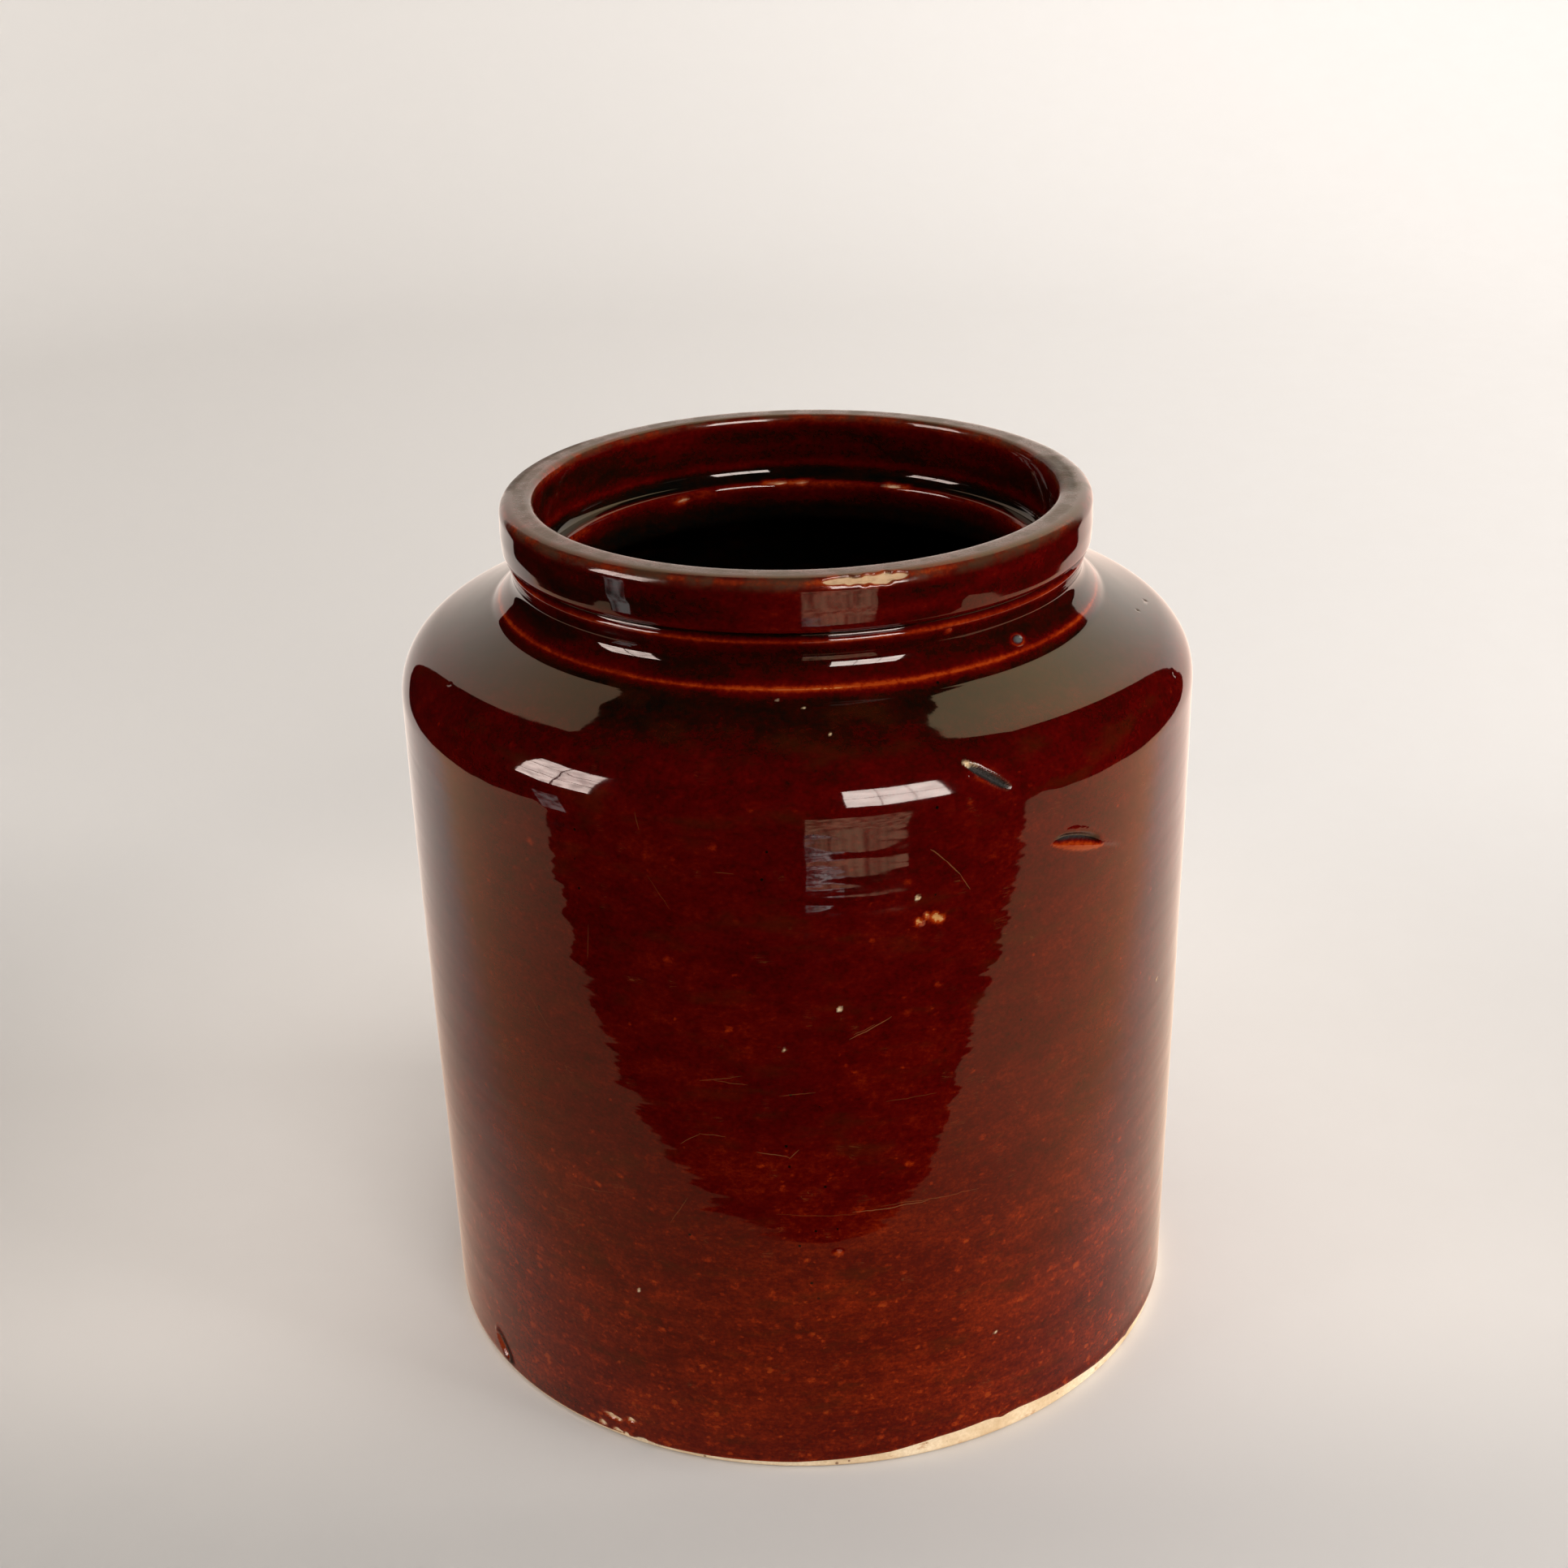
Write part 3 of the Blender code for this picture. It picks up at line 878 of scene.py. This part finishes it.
# Scratches and hairlines on the wall: (angle, height) of each end, half width
# in mm, strength.
SCRATCHES = [
    (5.7, 110.3, 11.3, 114.6, 0.20, 0.8), (6.3, 111.3, 9.1, 113.4, 0.14, 0.6),
    (-14.2, 99.8, -8.4, 102.0, 0.15, 0.6), (-12.2, 100.4, -7.7, 100.0, 0.13, 0.6),
    (-3.6, 97.5, 1.2, 98.2, 0.15, 0.6), (-17.3, 83.9, -14.5, 87.1, 0.15, 0.7),
    (-14.6, 87.3, -11.0, 86.8, 0.15, 0.7), (-6.9, 83.7, -2.5, 82.5, 0.18, 0.8),
    (-2.5, 82.3, -1.2, 84.5, 0.16, 0.7), (5.8, 68.1, 16.4, 68.7, 0.18, 0.9),
    (9.7, 69.2, 23.9, 68.7, 0.13, 0.6), (-4.5, 68.3, 6.5, 67.6, 0.12, 0.45),
    (-19.4, 63.6, -16.7, 70.6, 0.15, 0.5), (16.5, 151.0, 18.6, 148.1, 0.20, 0.8),
    (18.6, 148.1, 20.6, 144.1, 0.20, 0.8), (20.6, 144.1, 22.0, 140.6, 0.16, 0.7),
    (-11.0, 148.2, -8.5, 147.9, 0.14, 0.5), (-40.6, 111.2, -37.1, 104.3, 0.13, 0.4),
    (-29.0, 132.3, -29.5, 124.3, 0.15, 0.4), (10.5, 94.7, 17.5, 94.9, 0.12, 0.45),
    (-21.2, 159.5, -20.7, 155.5, 0.14, 0.5),
    (-36.0, 66.0, -28.0, 67.5, 0.14, 0.4), (-20.0, 146.0, -17.0, 139.0, 0.12, 0.35),
    (58.0, 62.0, 66.0, 64.0, 0.16, 0.6), (96.0, 92.0, 104.0, 97.0, 0.17, 0.7),
    (122.0, 51.0, 131.0, 50.0, 0.16, 0.6), (150.0, 120.0, 156.0, 112.0, 0.17, 0.6),
    (-160.0, 84.0, -150.0, 86.0, 0.17, 0.7), (-118.0, 61.0, -111.0, 57.0, 0.16, 0.6),
    (-85.0, 108.0, -78.0, 104.0, 0.15, 0.5), (176.0, 40.0, -176.0, 43.0, 0.15, 0.5),
]

MID_R = BELLY


def glaze_material():
    material, n, shader = new_material("oxblood_slip_glaze")
    where = n.new("ShaderNodeTexCoord").outputs["Object"]
    split = n.new("ShaderNodeSeparateXYZ")
    n.put(split.inputs[0], where)
    x, y, z = split.outputs
    depth = n.attribute("depth")
    rough_at = n.attribute("worn")
    ash = n.attribute("ash")
    bare = n.attribute("cream")
    outer = n.span(n.math("SQRT", n.math("ADD", n.math("MULTIPLY", x, x), n.math("MULTIPLY", y, y))), 0.0838, 0.0862)
    low = n.span(z, 0.125, 0.012)

    # Cloudy thick and thin, and fine horizontal streaks from the turning.
    outside = n.span(n.math("SQRT", n.math("ADD", n.math("MULTIPLY", x, x), n.math("MULTIPLY", y, y))), 0.0655, 0.0690)

    def varied(vector, scale, detail, rough, amount, distort=0.0):
        return n.math("MULTIPLY", n.math("SUBTRACT", n.noise(vector, scale, detail, rough, distort), 0.5), amount)

    t = n.math("ADD", depth, varied(scaled(n, where, 1, 1, 2.2), 42.0, 4.0, 0.6, 0.32))
    t = n.math("ADD", t, varied(scaled(n, where, 1, 1, 1.5), 210.0, 4.0, 0.65, 0.34, 0.3))
    streaks = varied(scaled(n, where, 1, 1, 20.0), 34.0, 4.0, 0.6, 0.13, 0.15)
    t = n.math("ADD", t, n.math("MULTIPLY", streaks, n.math("ADD", 0.6, low)))
    t = n.math("ADD", t, varied(scaled(n, where, 1, 1, 1.4), 900.0, 3.0, 0.7, 0.46))

    # Iron and ash specks that thin the glaze: small and many near the foot.
    patch = n.noise(where, 55.0, 3.0, 0.6)
    crowd = n.math("ADD", n.math("MULTIPLY", n.math("MULTIPLY", low, low), 0.62), 0.12)
    bent = n.new("ShaderNodeTexNoise")
    n.put(bent.inputs["Vector"], where)
    bent.inputs["Scale"].default_value = 700.0
    bent.inputs["Detail"].default_value = 2.0
    shapes = n.vec("ADD", scaled(n, where, 1, 1, 1.2),
                   n.vec("SCALE", n.vec("SUBTRACT", bent.outputs["Color"], (0.5, 0.5, 0.5)), 0.0016))
    for scale, size, density, amount in ((330.0, 0.34, 0.60, 0.22), (600.0, 0.36, 0.50, 0.17), (185.0, 0.22, 0.66, 0.24)):
        cells = n.voronoi(shapes, scale)
        lot = n.new("ShaderNodeSeparateColor")
        n.put(lot.inputs[0], cells.outputs["Color"])
        size_here = n.math("MULTIPLY", lot.outputs[0], size)
        dot = n.math("SUBTRACT", 1.0, n.math("DIVIDE", cells.outputs["Distance"], n.math("ADD", size_here, 0.03)), clamp=True)
        dot = n.math("POWER", dot, 0.55)
        limit = n.math("SUBTRACT", 1.0, n.math("MULTIPLY", crowd, n.math("MULTIPLY", patch, density * 1.9)))
        pick = n.math("GREATER_THAN", lot.outputs[1], limit)
        hit = n.math("MULTIPLY", n.math("MULTIPLY", dot, pick), outer)
        t = n.math("SUBTRACT", t, n.math("MULTIPLY", hit, amount))
    # Larger soft patches of thin glaze low on the wall.
    thin = n.span(n.noise(shapes, 430.0, 2.0, 0.55), 0.57, 0.68)
    t = n.math("SUBTRACT", t, n.math("MULTIPLY", n.math("MULTIPLY", thin, low), n.math("MULTIPLY", outer, 0.09)))
    # Small dark pits.
    cells = n.voronoi(where, 260.0)
    lot = n.new("ShaderNodeSeparateColor")
    n.put(lot.inputs[0], cells.outputs["Color"])
    pit = n.math("MULTIPLY", n.math("LESS_THAN", cells.outputs["Distance"], 0.085), n.math("GREATER_THAN", lot.outputs[1], 0.93))
    t = n.math("ADD", t, n.math("MULTIPLY", n.math("MULTIPLY", pit, outside), 0.35))

    # Nothing but a chip or a bare place is paler than orange.
    t = n.math("MAXIMUM", t, n.math("MINIMUM", depth, 0.20))
    base = n.ramp(t, [
        (0.00, (0.52, 0.36, 0.19)), (0.09, (0.40, 0.19, 0.06)), (0.16, (0.235, 0.032, 0.0035)),
        (0.25, (0.160, 0.0105, 0.0011)), (0.36, (0.092, 0.0045, 0.0007)), (0.46, (0.058, 0.0014, 0.0005)),
        (0.54, (0.043, 0.0005, 0.0004)), (0.64, (0.028, 0.0006, 0.0003)), (0.78, (0.011, 0.0012, 0.0004)),
        (0.90, (0.0042, 0.0015, 0.0006)), (1.00, (0.0016, 0.0014, 0.0010)),
    ])

    # Scratches: a fine tan line that has lost its gloss.
    angle = n.math("ARCTAN2", x, n.math("MULTIPLY", y, -1.0))
    flat = n.new("ShaderNodeCombineXYZ")
    n.put(flat.inputs[0], n.math("MULTIPLY", angle, MID_R * MM))
    n.put(flat.inputs[1], z)
    shake = n.noise(where, 260.0, 2.0)
    wobble = n.new("ShaderNodeCombineXYZ")
    n.put(wobble.inputs[1], n.math("MULTIPLY", n.math("SUBTRACT", shake, 0.5), 0.0011))
    shaken = n.vec("ADD", flat.outputs[0], wobble.outputs[0])
    group = scratch_group()
    lines = None
    for p0, z0, p1, z1, width, strength in SCRATCHES:
        node = n.new("ShaderNodeGroup")
        node.node_tree = group
        n.put(node.inputs["P"], shaken)
        if p1 < p0 - 180:
            p1 = 180.0
        node.inputs["A"].default_value = (math.radians(p0) * MID_R * MM, z0 * MM, 0.0)
        node.inputs["B"].default_value = (math.radians(p1) * MID_R * MM, z1 * MM, 0.0)
        node.inputs["W"].default_value = width * MM
        one = n.math("MULTIPLY", node.outputs[0], strength)
        lines = one if lines is None else n.math("MAXIMUM", lines, one)
    # Hairlines everywhere, sparse and short.
    for scale, turn in ((120.0, 0.5), (90.0, -0.35)):
        node = n.new("ShaderNodeMapping")
        n.put(node.inputs["Vector"], flat.outputs[0])
        node.inputs["Rotation"].default_value = (0, 0, turn)
        node.inputs["Scale"].default_value = (1.0, 13.0, 1.0)
        cells = n.voronoi(node.outputs["Vector"], scale, "DISTANCE_TO_EDGE")
        hair = n.math("LESS_THAN", cells.outputs["Distance"], 0.012)
        gate = n.span(n.noise(where, 160.0, 2.0), 0.64, 0.70)
        lines = n.math("MAXIMUM", lines, n.math("MULTIPLY", n.math("MULTIPLY", hair, gate), 0.35))
    lines = n.math("MULTIPLY", lines, outer)
    olive = n.span(n.noise(scaled(n, where, 1, 1, 3.0), 60.0, 4.0, 0.6), 0.52, 0.72)
    olive = n.math("MULTIPLY", n.math("MULTIPLY", olive, outside), 0.45)
    base = n.mix(olive, base, (0.030, 0.0052, 0.0008))
    base = n.mix(n.math("MULTIPLY", lines, 0.55), base, (0.20, 0.075, 0.022))

    # The top of the rim is rubbed dull in patches.
    top = n.math("MULTIPLY", n.span(z, 0.1968, 0.1988), n.span(n.noise(where, 150.0, 4.0, 0.65), 0.40, 0.60, 0.25, 1.0))
    base = n.mix(n.math("MULTIPLY", top, 0.8), base, (0.030, 0.0170, 0.0075))

    # Ash-grey film and bare clay.
    base = n.mix(ash, base, (0.062, 0.064, 0.062))
    crumbs = n.noise(where, 900.0, 3.0, 0.7)
    clay_tone = n.ramp(crumbs, [(0.30, (0.30, 0.17, 0.08)), (0.45, (0.56, 0.39, 0.21)), (0.62, (0.70, 0.55, 0.36))])
    bare_here = n.math("MULTIPLY", bare, n.span(crumbs, 0.28, 0.42, 0.55, 1.0))
    base = n.mix(bare_here, base, clay_tone)
    n.links.new(base, shader.inputs["Base Color"])

    # Gloss: a clear fired surface, hazier where rubbed or bare.
    haze = n.noise(where, 70.0, 3.0, 0.6)
    rough = n.span(haze, 0.35, 0.75, 0.030, 0.065)
    rough = n.math("ADD", rough, n.math("MULTIPLY", rough_at, 0.34))
    rough = n.math("ADD", rough, n.math("MULTIPLY", top, 0.20))
    rough = n.math("MAXIMUM", rough, n.math("MULTIPLY", bare, 0.75))
    rough = n.math("MAXIMUM", rough, n.math("MULTIPLY", lines, 0.45))
    n.links.new(rough, shader.inputs["Roughness"])
    shader.inputs["IOR"].default_value = 1.285
    shader.inputs["Metallic"].default_value = 0.0

    # Turning lines, orange peel, and grit where the clay is bare.
    rings = n.noise(scaled(n, where, 1, 1, 4.6), 52.0, 1.7, 0.45, 0.25)
    peel = n.noise(where, 420.0, 2.0, 0.5)
    grit = n.noise(where, 1700.0, 3.0, 0.7)
    height = n.math("MULTIPLY", rings, n.math("MULTIPLY", outside, 0.070))
    height = n.math("ADD", height, n.math("MULTIPLY", peel, 0.0045))
    height = n.math("ADD", height, n.math("MULTIPLY", n.math("MULTIPLY", grit, n.math("MAXIMUM", bare, rough_at)), 0.22))
    bump = n.new("ShaderNodeBump")
    bump.inputs["Strength"].default_value = 1.0
    bump.inputs["Distance"].default_value = 0.001
    n.put(bump.inputs["Height"], height)
    n.links.new(bump.outputs[0], shader.inputs["Normal"])
    return material


def clay_material():
    material, n, shader = new_material("cream_stoneware")
    where = n.new("ShaderNodeTexCoord").outputs["Object"]
    broad = n.noise(where, 60.0, 4.0, 0.6)
    grain = n.noise(where, 1100.0, 3.0, 0.65)
    tone = n.ramp(broad, [(0.30, (0.52, 0.36, 0.20)), (0.48, (0.68, 0.52, 0.33)), (0.70, (0.78, 0.66, 0.48))])
    tone = n.mix(n.span(grain, 0.35, 0.65, 0.0, 0.35), tone, (0.46, 0.31, 0.17))
    split = n.new("ShaderNodeSeparateXYZ")
    n.put(split.inputs[0], where)
    tone = n.mix(n.span(split.outputs[2], 0.15, 0.18, 0.0, 0.75), tone, (0.30, 0.165, 0.072))
    # Iron spots and smears of glaze.
    cells = n.voronoi(where, 620.0)
    lot = n.new("ShaderNodeSeparateColor")
    n.put(lot.inputs[0], cells.outputs["Color"])
    spot = n.math("MULTIPLY", n.math("LESS_THAN", cells.outputs["Distance"], n.math("MULTIPLY", lot.outputs[0], 0.30)),
                  n.math("GREATER_THAN", lot.outputs[1], 0.86))
    tone = n.mix(n.math("MULTIPLY", spot, 0.8), tone, (0.14, 0.055, 0.022))
    smear = n.span(n.noise(scaled(n, where, 1, 1, 2.0), 150.0, 4.0, 0.65), 0.60, 0.68)
    tone = n.mix(n.math("MULTIPLY", smear, 0.55), tone, (0.36, 0.15, 0.055))
    n.links.new(tone, shader.inputs["Base Color"])
    n.links.new(n.span(grain, 0.3, 0.7, 0.72, 0.92), shader.inputs["Roughness"])
    shader.inputs["IOR"].default_value = 1.4
    height = n.math("ADD", n.math("MULTIPLY", grain, 0.10), n.math("MULTIPLY", n.noise(where, 380.0, 3.0), 0.12))
    height = n.math("SUBTRACT", height, n.math("MULTIPLY", spot, 0.06))
    bump = n.new("ShaderNodeBump")
    bump.inputs["Strength"].default_value = 1.0
    bump.inputs["Distance"].default_value = 0.001
    n.put(bump.inputs["Height"], height)
    n.links.new(bump.outputs[0], shader.inputs["Normal"])
    return material


glaze.data.materials.append(glaze_material())
clay.data.materials.append(clay_material())

for piece, node, slot in ((glaze, "glaze_coat", "glaze"), (clay, "stoneware_body", "clay")):
    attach(piece, "root")
    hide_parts(node)

# ---------------------------------------------------------------- the stage
scene = bpy.context.scene


def link(obj):
    scene.collection.objects.link(obj)
    return obj


def plain_mesh(name, points, faces):
    mesh = bpy.data.meshes.new(name)
    mesh.from_pydata([tuple(map(float, p)) for p in points], [], faces)
    return link(bpy.data.objects.new(name, mesh))


# A pale sweep all round: flat floor, then a wide curve up to the wall.
FLAT_R, CURVE_R, WALL_H = 1.05, 0.85, 3.2
sweep_line = [(0.0, 0.0), (0.3, 0.0), (0.6, 0.0), (FLAT_R, 0.0)]
for k in range(1, 19):
    a = math.radians(90.0 * k / 18)
    sweep_line.append((FLAT_R + CURVE_R * math.sin(a), CURVE_R * (1 - math.cos(a))))
sweep_line.append((FLAT_R + CURVE_R, WALL_H))
RING = 96
pts = [(0.0, 0.0, 0.0)]
for r, z in sweep_line[1:]:
    for k in range(RING):
        a = math.tau * k / RING
        pts.append((r * math.cos(a), r * math.sin(a), z))
fcs = [(0, 1 + k, 1 + (k + 1) % RING) for k in range(RING)]
for i in range(len(sweep_line) - 2):
    for k in range(RING):
        a0, b0 = 1 + i * RING, 1 + (i + 1) * RING
        fcs.append((a0 + k, b0 + k, b0 + (k + 1) % RING, a0 + (k + 1) % RING))
sweep = plain_mesh("sweep", pts, fcs)
sweep.data.shade_smooth()
material, n, shader = new_material("paper_with_painted_light")
where = n.new("ShaderNodeTexCoord").outputs["Object"]
split = n.new("ShaderNodeSeparateXYZ")
n.put(split.inputs[0], where)
across = n.span(split.outputs[0], -0.55, 0.75)
grain = n.noise(where, 45.0, 4.0, 0.6)
# Painted light and shade: the paper is darker on the left and lighter on the right, and darker towards the front, for
# how the light falls on it.
tone = n.mix(across, (0.540, 0.520, 0.500), (0.785, 0.765, 0.750))
tone = n.mix(n.span(split.outputs[1], 0.30, -0.16), tone, n.mix(across, (0.322, 0.308, 0.292), (0.725, 0.705, 0.688)))
radius = n.vec("LENGTH", where, out=1)
# Painted light: the paper is made paler close round the jar, where the jar's shadow falls.
near = n.math("MULTIPLY", n.span(radius, 0.34, 0.10, 0.0, 0.80), n.span(split.outputs[1], -0.115, -0.02))
tone = n.mix(near, tone, n.mix(across, (0.91, 0.85, 0.80), (0.74, 0.71, 0.68)))
tone = n.mix(n.math("MULTIPLY", n.span(grain, 0.3, 0.7), 0.05), tone, (0.62, 0.58, 0.54))
n.links.new(tone, shader.inputs["Base Color"])
shader.inputs["Roughness"].default_value = 0.9
shader.inputs["IOR"].default_value = 1.2
sweep.data.materials.append(material)
sweep.visible_glossy = False
sweep.visible_shadow = False


def glow_material(name, strength, gradient=None):
    material = bpy.data.materials.new(name)
    material.use_nodes = True
    tree = material.node_tree
    tree.nodes.clear()
    n = Nodes(tree)
    out = n.new("ShaderNodeOutputMaterial")
    glow = n.new("ShaderNodeEmission")
    glow.inputs["Strength"].default_value = strength
    if gradient:
        n.links.new(gradient(n), glow.inputs["Color"])
    n.links.new(glow.outputs[0], out.inputs["Surface"])
    return material


def only_glossy(obj):
    obj.visible_camera = False
    obj.visible_diffuse = False
    obj.visible_transmission = False
    obj.visible_volume_scatter = False
    obj.visible_shadow = False


# What the glaze mirrors: a glowing sheet, seen only in reflections, standing in for the lit white paper
# under and behind the jar; its glow is painted reflection. It leans higher and wider on the right.
BACK, BEND = 0.52, 0.16
sheet_pts, sheet_fcs = [], []
spans = np.linspace(-1.0, 1.0, 25)
line = [("floor", k / 12) for k in range(13)] + [("bend", k / 8) for k in range(1, 9)]
line += [("wall", k / 8) for k in range(1, 9)]
for kind, t in line:
    for q in spans:
        if kind == "floor":
            x = 0.45 * q
            w = float(smooth(0.16, 0.05, abs(x)))
            y0 = (1 - w) * (-0.180 - 0.085 * x) + w * (-0.1697 + 0.045 * x)
            sheet_pts.append((x, y0 + (BACK - BEND - y0) * t, 0.0))
        elif kind == "bend":
            a = math.radians(90 * t)
            x = q * (0.45 + (0.15 if q > 0 else 0.0) * t)
            sheet_pts.append((x, BACK - BEND + BEND * math.sin(a), BEND * (1 - math.cos(a))))
        else:
            x = q * (0.60 + 0.30 * t if q > 0 else 0.45 + 0.14 * t)
            sheet_pts.append((x, BACK, BEND + ((1.18 + 0.55 * smooth(-0.2, 0.8, q)) - BEND) * t))
for i in range(len(line) - 1):
    for k in range(len(spans) - 1):
        a0 = i * len(spans) + k
        sheet_fcs.append((a0, a0 + 1, a0 + 1 + len(spans), a0 + len(spans)))
sheet = plain_mesh("painted_reflection_sheet", sheet_pts, sheet_fcs)


def painted_reflection_tone(n):
    where = n.new("ShaderNodeTexCoord").outputs["Object"]
    split = n.new("ShaderNodeSeparateXYZ")
    n.put(split.inputs[0], where)
    across = n.span(split.outputs[0], -0.4, 0.4)
    sides = n.span(split.outputs[0], -0.22, 0.22)
    up = n.span(split.outputs[2], 0.0, 0.30)
    out = n.vec("LENGTH", n.vec("ADD", where, (0.0, 0.12, 0.0)), out=1)
    # Painted light and shade: the glow is darker close in front of the jar and brighter further out and to the right.
    near = n.mix(n.span(out, 0.02, 0.20), (0.44, 0.27, 0.18), n.mix(sides, (0.72, 0.52, 0.41), (1.34, 1.02, 0.78)))
    floor_tone = n.mix(n.span(out, 0.20, 0.46), near, n.mix(across, (1.15, 1.00, 0.90), (1.75, 1.33, 1.12)))
    wall_tone = n.mix(across, (1.20, 1.03, 0.90), (1.90, 1.66, 1.45))
    # Painted reflection: warmer along the front edge.
    ahead = n.math("SUBTRACT", split.outputs[1], n.math("MULTIPLY", n.math("SUBTRACT", n.vec("LENGTH", where, out=1), 0.2), 0.8))
    floor_tone = n.mix(n.span(ahead, 0.03, -0.06), floor_tone, (1.38, 0.98, 0.68), "MULTIPLY")
    tone = n.mix(up, floor_tone, wall_tone)
    # Painted light: much brighter high up on the wall, most on the right.
    high = n.mix(across, (1.95, 1.24, 0.76), (3.30, 2.45, 1.40))
    return n.mix(n.span(split.outputs[2], 0.25, 1.0), tone, high)


glow = glow_material("painted_reflection_paper", 1.0, painted_reflection_tone)
glow.cycles.emission_sampling = "NONE"
sheet.data.materials.append(glow)
only_glossy(sheet)


def window(name, az0, az1, el0, el1, strength, cols, rows, bar=0.09, tint=(1.0, 0.98, 0.96), far=2.3,
           seen_from=(0.0, 0.0, 0.12), mottle=(2.4, 0.72)):
    """Panes of a window seen in the glaze, in degrees from the front."""
    pts, fcs = [], []

    def point(az, el):
        a, e = math.radians(az), math.radians(el)
        return (seen_from[0] + far * math.cos(e) * math.sin(a), seen_from[1] - far * math.cos(e) * math.cos(a),
                seen_from[2] + far * math.sin(e))

    wa, we = (az1 - az0) / cols, (el1 - el0) / rows
    for i in range(cols):
        for j in range(rows):
            a0, a1 = az0 + wa * (i + bar / 2), az0 + wa * (i + 1 - bar / 2)
            e0, e1 = el0 + we * (j + bar / 2), el0 + we * (j + 1 - bar / 2)
            k = len(pts)
            pts += [point(a0, e0), point(a1, e0), point(a1, e1), point(a0, e1)]
            fcs.append((k, k + 1, k + 2, k + 3))
    obj = plain_mesh(name, pts, fcs)

    def tone(n):
        where = n.new("ShaderNodeTexCoord").outputs["Object"]
        return n.ramp(n.noise(where, mottle[0], 3.0), [(0.35, tuple(mottle[1] * c for c in tint)), (0.62, tint)])

    obj.data.materials.append(glow_material(name + "_glow", strength, tone))
    only_glossy(obj)
    return obj


window("window_left", -82, -57, 7, 31, 34.0, 2, 3, bar=0.05, mottle=(6.0, 0.55), tint=(1.0, 0.80, 0.72))
window("window_right", 12, 40, 10, 34, 44.0, 3, 2, bar=0.03, mottle=(3.0, 0.75), tint=(1.0, 0.86, 0.78))
# Painted reflections: the low cards glow where the windows are mirrored in the glossy table in front of the paper; they
# are not lamps.
window("window_left_low", -77, -68, -24.6, -8, 3.0, 1, 1, bar=0.0, seen_from=(-0.05, -0.07, 0.152), mottle=(7.0, 0.1))
window("window_right_low", 1, 30, -25.60, -5, 5.0, 1, 1, bar=0.0, tint=(1.0, 0.56, 0.34),
       seen_from=(0.01, -0.088, 0.143), mottle=(9.0, 0.25))
window("window_right_sill", 1, 27, -25.78, -25.62, 7.5, 1, 1, bar=0.0, seen_from=(0.01, -0.088, 0.143), mottle=(5.0, 0.5))
window("window_right_lower", 1, 12, -26.75, -26.30, 7.0, 1, 1, bar=0.0, seen_from=(0.01, -0.088, 0.143), mottle=(14.0, 0.0))


def area(name, az, el, dist, size, power, colour):
    data = bpy.data.lights.new(name, "AREA")
    data.shape = "RECTANGLE"
    data.size, data.size_y = size
    data.energy = power
    data.color = colour
    obj = link(bpy.data.objects.new(name, data))
    a, e = math.radians(az), math.radians(el)
    obj.location = (dist * math.cos(e) * math.sin(a), -dist * math.cos(e) * math.cos(a), 0.1 + dist * math.sin(e))
    aim = Vector((0, 0, 0.1)) - obj.location
    obj.rotation_mode = "QUATERNION"
    obj.rotation_quaternion = aim.to_track_quat("-Z", "Y")
    obj.visible_glossy = False
    obj.visible_camera = False
    return obj


area("key_right", 24, 24, 5.5, (2.2, 2.4), 92.0, (1.0, 0.985, 0.965))
area("side_right", 76, 18, 5.5, (3.2, 3.0), 330.0, (1.0, 0.985, 0.965))
area("key_left", -70, 20, 5.5, (3.0, 2.8), 112.0, (1.0, 0.985, 0.965))
area("top_soft", 0, 80, 4.5, (4.0, 4.0), 36.0, (1.0, 0.99, 0.975))

world = bpy.data.worlds.new("studio")
scene.world = world
world.use_nodes = True
tree = world.node_tree
tree.nodes.clear()
n = Nodes(tree)
out = n.new("ShaderNodeOutputWorld")
back = n.new("ShaderNodeBackground")
path = n.new("ShaderNodeLightPath")
colour = n.mix(path.outputs["Is Glossy Ray"], (0.50, 0.49, 0.477), (0.003, 0.003, 0.003))
colour = n.mix(path.outputs["Is Camera Ray"], colour, (0.84, 0.80, 0.77))
n.links.new(colour, back.inputs["Color"])
n.links.new(back.outputs[0], out.inputs["Surface"])

# ---------------------------------------------------------------- the camera
H = HEIGHT * MM
pitch, roll, yaw = 0.428687451, -0.0271166622, -0.00732616025
cam_at = Vector((0.0, -2.41319763 * H, 1.73654493 * H))
fwd = Vector((math.sin(yaw) * math.cos(pitch), math.cos(yaw) * math.cos(pitch), -math.sin(pitch)))
right = Vector((math.cos(yaw), -math.sin(yaw), 0.0))
upward = right.cross(fwd)
r2 = math.cos(roll) * right + math.sin(roll) * upward
u2 = -math.sin(roll) * right + math.cos(roll) * upward
camera_data = bpy.data.cameras.new("camera")
camera_data.sensor_width = 36.0
camera_data.lens = 36.0 * 2800.0 / 1932.0
camera_data.clip_start, camera_data.clip_end = 0.02, 50.0
camera = link(bpy.data.objects.new("camera", camera_data))
camera.matrix_world = Matrix((
    (r2.x, u2.x, -fwd.x, cam_at.x),
    (r2.y, u2.y, -fwd.y, cam_at.y),
    (r2.z, u2.z, -fwd.z, cam_at.z),
    (0.0, 0.0, 0.0, 1.0),
))
scene.camera = camera
scene.view_settings.view_transform = "Standard"
scene.view_settings.look = "None"
